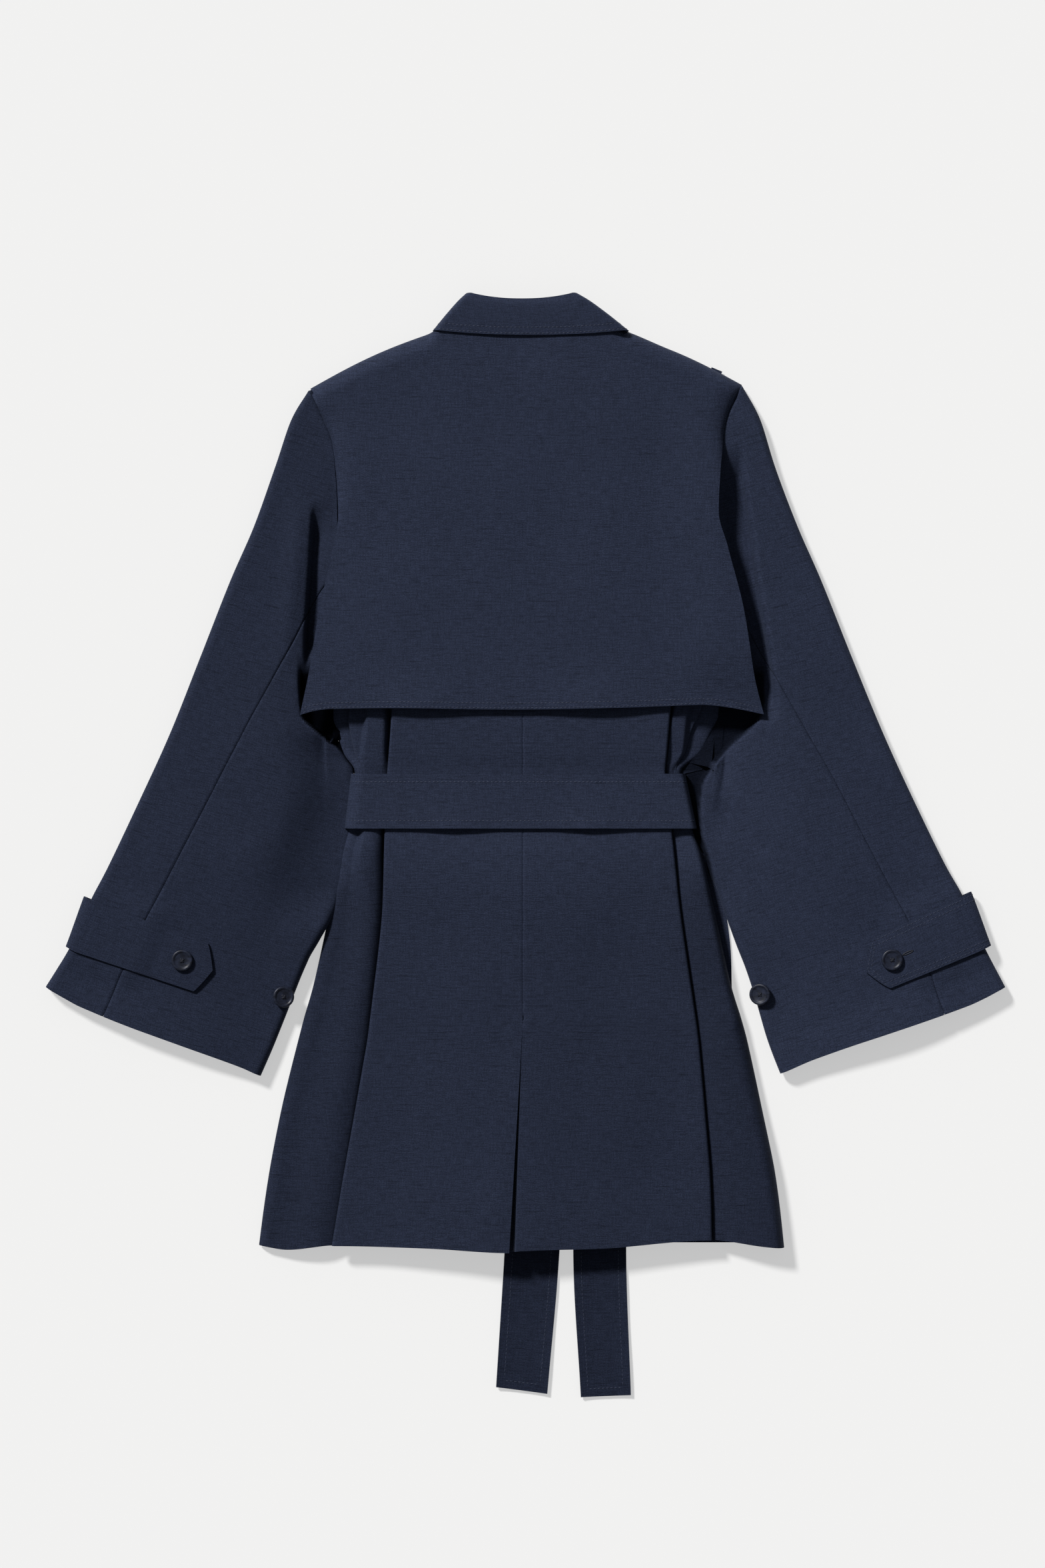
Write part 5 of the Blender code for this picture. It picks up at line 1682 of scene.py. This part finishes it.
@dataclass
class BeltBand(ClothPiece):
    """The belt from the knot round the right side, over the back and round the left side to the knot."""

    belt: Belt = Belt()
    left_round: float = 12.0
    right_round: float = 4.5
    left_edge: Point = (156.4, 150.9)
    right_edge: Point = (148.2, 138.0)
    under_round: float = 10.0
    side_z: float = 5.4
    back_rise: float = 0.8
    lower_lift: tuple[Point, ...] = ((-150, 0), (-100, 0.3), (-63, 2.6), (-20, 0.4), (20, 0.4), (55, 2.6),
                                     (95, 0.3), (150, 0))

    def half(self, edge: Array, knot: float, over: float) -> tuple[Array, Array]:
        """Half a ring: a flat stretch below, a quarter round below and a taller one above.

        Args:
            edge: half width of the ring at each row.
            knot: where the band starts beside the knot.
            over: reach of the upper rounding.

        Returns:
            Distances from the centre line, and heights.
        """
        under, middle = self.under_round, self.side_z
        lower = np.radians(np.linspace(-90, 0, 12))[None, :]
        upper = np.radians(np.linspace(0, 90, 14))[None, 1:]
        floor = knot + (edge - under - knot) * np.linspace(0, 1, 24)[None, :-1]
        out = [floor, edge - under + under * np.cos(lower), edge - over + over * np.cos(upper)]
        z = [HALF + 0 * floor, middle + (middle - HALF) * np.sin(lower) + 0 * edge,
             middle + (self.belt.top_z - middle) * np.sin(upper) + 0 * edge]
        return np.concatenate(out, axis=1), np.concatenate(z, axis=1)

    def grid(self) -> Array:
        """Two half rings joined by the stretch over the back, which rises in a low sine; the lower edge
        lifts in two shallow waves.

        Returns:
            The middle surface.
        """
        belt = self.belt
        share = np.linspace(0, 1, 17)[:, None]
        y = belt.low + (belt.high - belt.low) * share
        right = self.right_edge[0] + (self.right_edge[1] - self.right_edge[0]) * share
        left = self.left_edge[0] + (self.left_edge[1] - self.left_edge[0]) * share
        right_x, right_z = self.half(right, belt.knot_x + belt.knot_width / 2 + SEAM, self.right_round)
        left_x, left_z = self.half(left, -belt.knot_x + belt.knot_width / 2 + SEAM, self.left_round)
        top = np.linspace(0, 1, 90)[None, 1:-1]
        first, last = right - self.right_round, self.left_round - left
        top_x = first + (last - first) * top
        lift = through(self.lower_lift, top_x) * (1.0 - share) ** 2
        top_z = belt.top_z + self.back_rise * np.sin(math.pi * top) + lift
        x = np.concatenate([right_x, top_x, -left_x[:, ::-1]], axis=1)
        z = np.concatenate([right_z, top_z, left_z[:, ::-1]], axis=1)
        return place(1, x, y + 0 * x, z)

    def across(self, grid: Array) -> Array:
        """Outward from the ring."""
        made = normals(grid)
        return made * np.sign(made[grid.shape[0] // 2, grid.shape[1] // 2, 2])

    def traces(self, grid: Array) -> list[Trace]:
        """Rows of stitches 7 mm inside both edges.

        Args:
            grid: the middle surface.

        Returns:
            The lines of sewing.
        """
        last = grid.shape[0] - 1
        columns = np.linspace(1, grid.shape[1] - 2, 900)
        inset = SEWN_IN / (self.belt.high - self.belt.low) * last
        return [Trace(np.full(900, at), columns) for at in (inset, last - inset)]


@dataclass
class BeltKnot(ClothPiece):
    """The knot on the surface side: a plain pad."""

    belt: Belt = Belt()

    def grid(self) -> Array:
        """A flat patch whose wall is the knot's height.

        Returns:
            The middle surface.
        """
        share = np.linspace(-1, 1, 25)
        x = self.belt.knot_x + share[None, :] * self.belt.knot_width / 2
        middle = (self.belt.low + self.belt.high) / 2
        y = middle + share[:, None] * (self.belt.high - self.belt.low) / 2
        return place(1, x, y, self.belt.knot_height / 2 + 0 * x * y)


@dataclass
class BeltTail(ClothPiece):
    """A free end of the belt lying on the surface."""

    rows: tuple[TailRow, ...] = ()
    width: float = 47.0
    free_from: float = -360.0

    def grid(self) -> Array:
        """Straight sections between both edges, with a faint wave along the free part.

        Returns:
            The middle surface.
        """
        row = sample(self.rows, np.linspace(0, len(self.rows) - 1, 120))
        across = np.linspace(0, 1, 17)[None, :]
        x = row.left + (row.right - row.left) * across
        y = row.left_y + (row.right_y - row.left_y) * across
        free = ease((self.free_from - y) / 40.0)
        lift = free * (0.6 + 0.6 * np.sin(y * 0.05) + 0.9 * np.abs(2 * across - 1) ** 3)
        return place(1, x, y, HALF + lift)

    def traces(self, grid: Array) -> list[Trace]:
        """Stitches 7 mm inside both edges and the end.

        Args:
            grid: the middle surface.

        Returns:
            The lines of sewing.
        """
        last = grid.shape[1] - 1
        inset = SEWN_IN / self.width * last
        end = grid.shape[0] - 1 - SEWN_IN / np.linalg.norm(grid[-1, last // 2] - grid[-2, last // 2])
        rows = np.linspace(1, grid.shape[0] - 2.6, 600)
        rows = rows[rows < end]
        lift = float(np.sign(normals(grid)[5, 5, 2])) * HALF
        made = [Trace(rows, np.full(len(rows), at), lift) for at in (inset, last - inset)]
        return made + [Trace(np.full(60, end), np.linspace(inset, last - inset, 60), lift)]


@dataclass
class CollarRing(ClothPiece):
    """A flattened ring round the neck, open at the centre front, that lies on its own front."""

    rows: tuple[CollarRow, ...] = ()
    gap: float = 8.0
    curl: float = 5.0
    count: int = 26
    edge_sewn: bool = False

    def half(self, row: CollarRow, edge: Array) -> tuple[Array, Array, Array]:
        """Half a ring: the front, sloping to the opening, then a half circle at the side.

        Args:
            row: columns of the table.
            edge: half width of the ring.

        Returns:
            Distances from the centre line, places along, and heights.
        """
        bend = np.radians(np.linspace(-90, 90, 19))[None, :]
        front = self.gap + (edge - self.curl - self.gap) * np.linspace(0, 1, 26)[None, :-1]
        out = np.concatenate([front, edge - self.curl + self.curl * np.cos(bend)], axis=1)
        drop = (row.end_y - row.front_y) * ease((edge - self.curl - front) / row.spread)
        y = np.concatenate([row.end_y - drop, row.end_y + 0 * edge + 0 * bend], axis=1)
        middle = (row.top_z + row.floor_z) / 2
        bend_z = middle + (row.top_z - row.floor_z) / 2 * np.sin(bend)
        return out, y, np.concatenate([row.floor_z + 0 * front, bend_z], axis=1)

    def grid(self) -> Array:
        """Two half rings joined by the back stretch, which dips at the middle with a power of 2.2.

        Returns:
            The middle surface.
        """
        row = sample(self.rows, np.linspace(0, len(self.rows) - 1, self.count))
        right_x, right_y, right_z = self.half(row, row.right)
        left_x, left_y, left_z = self.half(row, row.left)
        top = np.linspace(0, 1, 56)[None, 1:-1]
        first, last = row.right - self.curl, self.curl - row.left
        top_x = first + (last - first) * top
        top_y = row.back_y + (row.end_y - row.back_y) * np.abs(2 * top - 1) ** 2.2
        top_z = row.top_z + 0 * top
        x = np.concatenate([right_x, top_x, -left_x[:, ::-1]], axis=1)
        y = np.concatenate([right_y, top_y, left_y[:, ::-1]], axis=1)
        z = np.concatenate([right_z, top_z, left_z[:, ::-1]], axis=1)
        return place(1, x, y, z)

    def across(self, grid: Array) -> Array:
        """Outward from the ring."""
        made = normals(grid)
        return made * np.sign(made[self.count // 2, grid.shape[1] // 2, 2])

    def traces(self, grid: Array) -> list[Trace]:
        """Stitches 6.5 mm and 1.5 mm inside the lower edge, where the piece has them.

        Args:
            grid: the middle surface.

        Returns:
            The lines of sewing.
        """
        if not self.edge_sewn:
            return []
        step = np.linalg.norm(grid[-1, grid.shape[1] // 2] - grid[-2, grid.shape[1] // 2])
        columns = np.linspace(1, grid.shape[1] - 2, 800)
        return [Trace(np.full(800, self.count - 1 - inset / step), columns) for inset in (1.5, 6.5)]


@dataclass
class ShoulderLoop(ClothPiece):
    """The small loop that stands out between front and flap at the right shoulder."""

    x: float = 164.0
    y: float = 407.0
    width: float = 10.0
    length: float = 13.0
    lift: float = 0.55

    def grid(self) -> Array:
        """A flat patch turned square to the shoulder line.

        Returns:
            The middle surface.
        """
        slope = math.atan(SHOULDER_FALL[1])
        across = np.linspace(-0.5, 0.5, 9)[None, :] * self.width
        along = np.linspace(-0.5, 0.5, 11)[:, None] * self.length
        x = self.x + across * math.cos(slope) + along * math.sin(slope)
        y = self.y - across * math.sin(slope) + along * math.cos(slope)
        return place(1, x, y, CLOTH + SEAM + self.lift + 0 * x)


@dataclass(frozen=True)
class Button:
    """A button with a raised rim and a sunk middle, sewn on with crossed thread."""

    node: str
    centre: tuple[float, float, float]
    tilt: float
    radius: float = 9.3
    profile: tuple[Point, ...] = ((0, 0), (0.80, 0), (0.93, 0.35), (1, 1.1), (1, 2.2),
                                  (0.965, 2.85), (0.91, 3.2), (0.85, 3.28), (0.79, 3.2), (0.745, 2.95),
                                  (0.71, 2.6), (0.66, 2.42), (0.35, 2.30), (0, 2.25))
    pole: float = 0.002
    around: int = 48
    thread_radius: float = 0.34
    thread_apart: float = 0.32
    thread_half: float = 2.5

    def set_down(self, points: Array) -> Array:
        """Points leaned about Y and moved to the button's place.

        Args:
            points: places about the middle of the button's foot.

        Returns:
            The moved points.
        """
        lean = math.radians(self.tilt)
        cos, sin = math.cos(lean), math.sin(lean)
        return points @ np.array([[cos, 0, -sin], [0, 1, 0], [sin, 0, cos]]) + np.array(self.centre)

    def disc(self) -> tuple[Array, Array]:
        """The profile turned about its axis: a ring of points for each profile point, the poles drawn in to
        a closed ring of almost no size.

        Returns:
            The points and the faces.
        """
        turn = np.linspace(0, 2 * math.pi, self.around, endpoint=False)
        size, high = np.array(self.profile).T
        size = np.maximum(size, self.pole) * self.radius
        points = np.stack([np.outer(size, np.cos(turn)), np.outer(size, np.sin(turn)),
                           np.repeat(high[:, None], self.around, axis=1)], axis=-1)
        return points.reshape(-1, 3), tube(len(size), self.around)

    def thread(self) -> tuple[Array, Array]:
        """Two crossed pairs of thread: tubes that run level and fall with a sixth power at their ends.

        Returns:
            The points and the faces.
        """
        turn = np.linspace(0, 2 * math.pi, 8, endpoint=False)
        share = np.linspace(-1, 1, 13)
        blocks = []
        for way in (0.25 * math.pi, 0.75 * math.pi):
            axis = np.array([math.cos(way), math.sin(way)])
            over = np.array([-axis[1], axis[0]])
            for shift in (-self.thread_apart, self.thread_apart):
                along = share * self.thread_half
                high = 2.90 - 1.15 * share ** 6
                beside = shift + self.thread_radius * np.cos(turn)
                flat = along[:, None, None] * axis + beside[None, :, None] * over
                tall = high[:, None] + self.thread_radius * np.sin(turn)[None, :]
                blocks.append(np.concatenate([flat, tall[..., None]], axis=-1))
        points = np.stack(blocks)
        starts = np.arange(len(blocks))[:, None, None] * points.shape[1] * 8
        return points.reshape(-1, 3), (tube(points.shape[1], 8)[None] + starts).reshape(-1, 4)

    def build(self, finishes: Finishes) -> None:
        """Makes disc and thread and sets the disc in place of the CAD node.

        Args:
            finishes: the jacket's materials.
        """
        points, faces = self.disc()
        disc = add_mesh(self.node + "_disc", self.set_down(points), faces, finishes.button, sharp=35.0)
        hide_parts(self.node)
        points, faces = self.thread()
        sewn = add_mesh(self.node + "_thread", self.set_down(points), faces, finishes.binding, sharp=60.0)
        for piece, slot in ((disc, Slot.BUTTON), (sewn, Slot.WOOL)):
            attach(piece, "root")
            log.info("%s: %d points", piece.name, len(piece.data.vertices))


@dataclass(frozen=True)
class Buttonhole:
    """A buttonhole bound with close stitches, on the strap beside its button."""

    name: str
    shape: SleeveShape
    reach: float
    length: float = 9.5
    width: float = 1.7
    cord: float = 0.55
    lift: float = 0.5

    def build(self, finish: bpy.types.Material) -> None:
        """A corded oval: a small circle, taller and lower in turn, carried round a flat ellipse that is laid
        along the strap.

        Args:
            finish: the thread.
        """
        beside = np.array([-1.0, 0.0, 1.0])
        row = self.shape.rows(STRAP_MIDDLE + 0.1 * beside)
        reach = self.reach + beside[None, :] + np.zeros((3, 1))
        height = self.shape.top(row, reach) + STRAP_RISE + HALF + self.lift
        spots = self.shape.place(row, reach, height)[1]
        along = unit(spots[2] - spots[0])
        over = unit(np.cross((0.0, 0.0, 1.0), along))
        turn = np.linspace(0, 2 * math.pi, 56, endpoint=False)[:, None]
        ring = np.linspace(0, 2 * math.pi, 8, endpoint=False)[None, :]
        outward = self.cord * np.cos(ring)
        flat = (self.length / 2 + outward) * np.cos(turn)
        wide = (self.width / 2 + outward) * np.sin(turn)
        tall = self.cord * np.sin(ring) * (1.0 + 0.16 * np.sin(28.0 * turn))
        points = spots[1] + flat[..., None] * along + wide[..., None] * over
        points[..., 2] += tall
        face = np.arange(56 * 8).reshape(56, 8)
        after = np.roll(face, -1, axis=1)
        faces = cells(face, np.roll(face, -1, axis=0), np.roll(after, -1, axis=0), after)
        piece = add_mesh(self.name, points.reshape(-1, 3), faces, finish)
        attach(piece, "root")
        log.info("%s: %d points", piece.name, len(piece.data.vertices))


@dataclass(frozen=True)
class Studio:
    """A pale surface, a soft key light from the upper left, even fill, and a camera straight above."""

    centre: Point = (-2.6, 52.6)
    frame_height: float = 1364.0
    camera_height: float = 4000.0
    key: float = 4.15
    key_angle: float = 9.0
    key_elevation: float = 37.0
    key_bearing: float = 39.73
    fill: float = 0.19
    floor_half: float = 3000.0
    floor_z: float = -0.3

    def build(self) -> None:
        """Adds floor, lights and camera."""
        corners = np.array([[-1, -1], [1, -1], [1, 1], [-1, 1]]) * self.floor_half
        corners = np.column_stack([corners, np.full(4, self.floor_z)])
        floor = add_mesh("floor", corners, np.array([[0, 1, 2, 3]]), PaperFinish().material())
        world = bpy.data.worlds.new("studio")
        world.use_nodes = True
        sky = world.node_tree.nodes["Background"]
        sky.inputs["Color"].default_value = (0.97, 0.985, 1.0, 1.0)
        sky.inputs["Strength"].default_value = self.fill
        bpy.context.scene.world = world
        sun = bpy.data.lights.new("key", "SUN")
        sun.energy = self.key
        sun.angle = math.radians(self.key_angle)
        sun.color = (1.0, 0.99, 0.97)
        lamp = bpy.data.objects.new("key", sun)
        tilt = math.radians(90.0 - self.key_elevation)
        lamp.rotation_euler = (-tilt, 0.0, math.radians(self.key_bearing))
        bpy.context.scene.collection.objects.link(lamp)
        camera = bpy.data.cameras.new("camera")
        camera.sensor_width = 36.0
        camera.lens = camera.sensor_width * self.camera_height / self.frame_height
        camera.clip_end = 50.0
        eye = bpy.data.objects.new("camera", camera)
        eye.location = (self.centre[0] * MM, self.centre[1] * MM, self.camera_height * MM)
        bpy.context.scene.collection.objects.link(eye)
        bpy.context.scene.camera = eye
        bpy.context.scene.view_settings.view_transform = "Standard"


@dataclass
class Jacket:
    """The whole jacket: every piece with its sizes, in the order a maker would sew them."""

    # Each hollow line bounds the painted shade between sleeve and body; on the right the tucked inner edge
    # lies in it, dark cloth in the shaded gap.
    left: SleeveShape = SleeveShape(
        Side.LEFT, ((61, 149), (70, 155.5), (82, 163.7), (95.7, 180), (113, 195.5),
                    (170.0, 200.0)),
        tuck=(1, 13, 14, 12, 10, 8, 5, 2, 0, 0, 0, 0, 0),
        side_line=((-80, 175), (-57, 171), (-18, 162), (14, 156), (61, 150),
                   (100.0, 170.0)),
        creases=(
            Crease(((-190, 146), (-187, 200), (-184.5, 240), (-183, 270), (-182.5, 300)),
                   2.6, 12.0, 0.24, 3.6),
            Crease(((-196, 318), (-199, 262), (-204, 205), (-212, 140)), 9, -1.8, 0.3),
            Crease(((-176, 76), (-215, 10), (-262, -40)), 22, -1.6, 0.35),
            Crease(((-182, 30), (-214, -50), (-238, -120)), 18, 0.8, 0.35),
        ))
    right: SleeveShape = SleeveShape(
        Side.RIGHT, ((-48, 169), (-15, 161.7), (12, 154), (31, 153), (51, 155),
                     (64, 161.7), (81.5, 176), (115, 206.5), (170, 212)),
        hollow_shade=0.82,
        tuck=(20, 20, 17, 12, 6, 0, 0, 0, 0, 0, 0, 0, 0),
        creases=(
            Crease(((184.5, 350), (185.2, 312), (189, 284), (193.5, 255), (200, 210), (208, 160),
                    (217, 100)), 4.0, 15.0, 0.22, 5.5),
            Crease(((160, 46), (190, 12), (214, -14)), 7, 1.6, 0.3),
            Crease(((164, 20), (188, -24), (204, -60)), 9, -1.2, 0.3),
            Crease(((212, 60), (246, -20), (280, -90)), 26, -1.4, 0.35),
        ))
    left_strap: StrapEnds = LEFT_STRAP
    right_strap: StrapEnds = StrapEnds(86.9, 104.0, 89.5, 7.5, 5.0, 79.0)
    left_seat: ButtonSeat = ButtonSeat(9.55, 8.8, 12.0)
    right_seat: ButtonSeat = ButtonSeat(9.1, 6.6, 18.0)
    # Even painted shade over the left sleeve and over the belt's tails.
    left_painted_shade: float = 0.19
    tail_painted_shade: float = 0.33
    button_lift: float = 0.8
    seat_lift: float = 1.6
    hole_back: float = 15.0

    def body(self) -> list[ClothPiece]:
        """Fronts, backs, flap and collar.

        Returns:
            The pieces.
        """
        fall = (
            CollarRow(51.4, 45, 472.4, 477.2, 432, 22, HALF, 42),
            CollarRow(57.9, 55.2, 466.4, 471, 424, 24.2, HALF, 41),
            CollarRow(68.5, 71.6, 456, 459, 408, 24.6, HALF, 38),
            CollarRow(80, 89.2, 441, 444.9, 388, 24.2, HALF, 35),
        )
        stand = (
            CollarRow(73, 73, 444.4, 444.6, 392.2, 20.4, HALF + LAYER, 60),
            CollarRow(60, 58, 458.6, 459.4, 410, 20.4, HALF + LAYER, 50),
            CollarRow(48.4, 42.2, 469, 473.6, 430, 20.4, HALF + LAYER, 40),
        )
        return [
            FrontPanel("front_right", side=Side.RIGHT),
            FrontPanel("front_left", rests_on=("front_right",), side=Side.LEFT),
            BackPanel("back_right", Held.FOLDED, ("front_right",), side=Side.RIGHT),
            BackPanel("back_left", Held.FOLDED, ("front_left", "back_right"), side=Side.LEFT),
            StormFlap("storm_flap", rests_on=("back_left", "back_right")),
            CollarRing("collar_stand", Held.FOLDED, ("front_right",), rows=stand, count=14),
            CollarRing("collar_fall", Held.FOLDED, ("storm_flap",), rows=fall, edge_sewn=True),
        ]

    def sleeves(self) -> list[ClothPiece]:
        """Both pieces and the strap of each sleeve.

        Returns:
            The pieces.
        """
        made: list[ClothPiece] = []
        # The left sleeve takes even painted shade; the right none.
        for word, shape, strap, even_painted_shade in (("left", self.left, self.left_strap, self.left_painted_shade),
                                        ("right", self.right, self.right_strap, 0.0)):
            for part, outer in (("under_sleeve_", False), ("top_sleeve_", True)):
                made.append(SleevePart(part + word, Held.FOLDED, even_painted_shade=even_painted_shade, shape=shape, outer=outer))
            made.append(CuffStrap("cuff_strap_" + word, Held.FOLDED, ("top_sleeve_" + word,), even_painted_shade=even_painted_shade,
                                  shape=shape, ends=strap))
        return made

    def belt(self) -> list[ClothPiece]:
        """The belt's band, knot and free ends, and the shoulder loop.

        Returns:
            The pieces.
        """
        left = (
            TailRow(21, 13.5, 46, 13.5),
            TailRow(3, -60, 47, -60),
            TailRow(-11, -200, 36, -200),
            TailRow(-17.9, -348, 29.9, -348),
            TailRow(-25.5, -471.7, 18.9, -477.5),
        )
        right = (
            TailRow(50, 13.5, 75, 13.5),
            TailRow(49.5, -60, 93, -60),
            TailRow(45, -200, 91, -200),
            TailRow(41.5, -348, 87.6, -348),
            TailRow(48.2, -480.4, 91.6, -478.6),
        )
        sizes = Belt()
        return [
            BeltBand("belt_band", Held.FOLDED, ("back_left", "back_right"), belt=sizes),
            BeltKnot("belt_knot", Held.FOLDED, thickness=sizes.knot_height, belt=sizes),
            BeltTail("belt_tail_left", even_painted_shade=self.tail_painted_shade, rows=left),
            BeltTail("belt_tail_right", even_painted_shade=self.tail_painted_shade, rows=right),
            ShoulderLoop("shoulder_loop", rests_on=("front_right",), thickness=1.1),
        ]

    def buttons(self) -> list[Button]:
        """A button on each strap and a leaned one on each sleeve's inner edge.

        Returns:
            The buttons.
        """
        made = []
        beside = np.array([-0.1, 0.0, 0.1])
        for word, shape, strap, seat in (("left", self.left, self.left_strap, self.left_seat),
                                         ("right", self.right, self.right_strap, self.right_seat)):
            row = shape.rows(STRAP_MIDDLE + beside)
            reach = np.full((3, 1), strap.button)
            height = shape.top(row, reach) + STRAP_RISE + HALF + self.button_lift
            spot = shape.place(row, reach, height)[1, 0]
            made.append(Button("strap_button_" + word, tuple(spot), 0.0))
            row = shape.rows(seat.row + beside)
            lean = math.radians(seat.tilt)
            radius = row.edge + HALF + self.seat_lift
            reach = shape.length(row) - seat.inset - HALF + radius * math.sin(lean)
            spot = shape.place(row, reach, HALF + row.edge + radius * math.cos(lean))[1, 0]
            made.append(Button("cuff_button_" + word, tuple(spot), -shape.side * seat.tilt))
        return made

    def build(self) -> None:
        """Makes every piece with its finish."""
        finishes = Finishes()
        for piece in self.body() + self.sleeves() + self.belt():
            piece.build(finishes)
        for button in self.buttons():
            button.build(finishes)
        reach = self.right_strap.button - self.hole_back
        Buttonhole("strap_buttonhole_right", self.right, reach).build(finishes.binding)


def main() -> None:
    """Builds the jacket and the studio."""
    logging.basicConfig(level=logging.INFO, format="%(name)s: %(message)s")
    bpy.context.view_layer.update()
    Jacket().build()
    Studio().build()


if __name__ == "__main__":
    main()
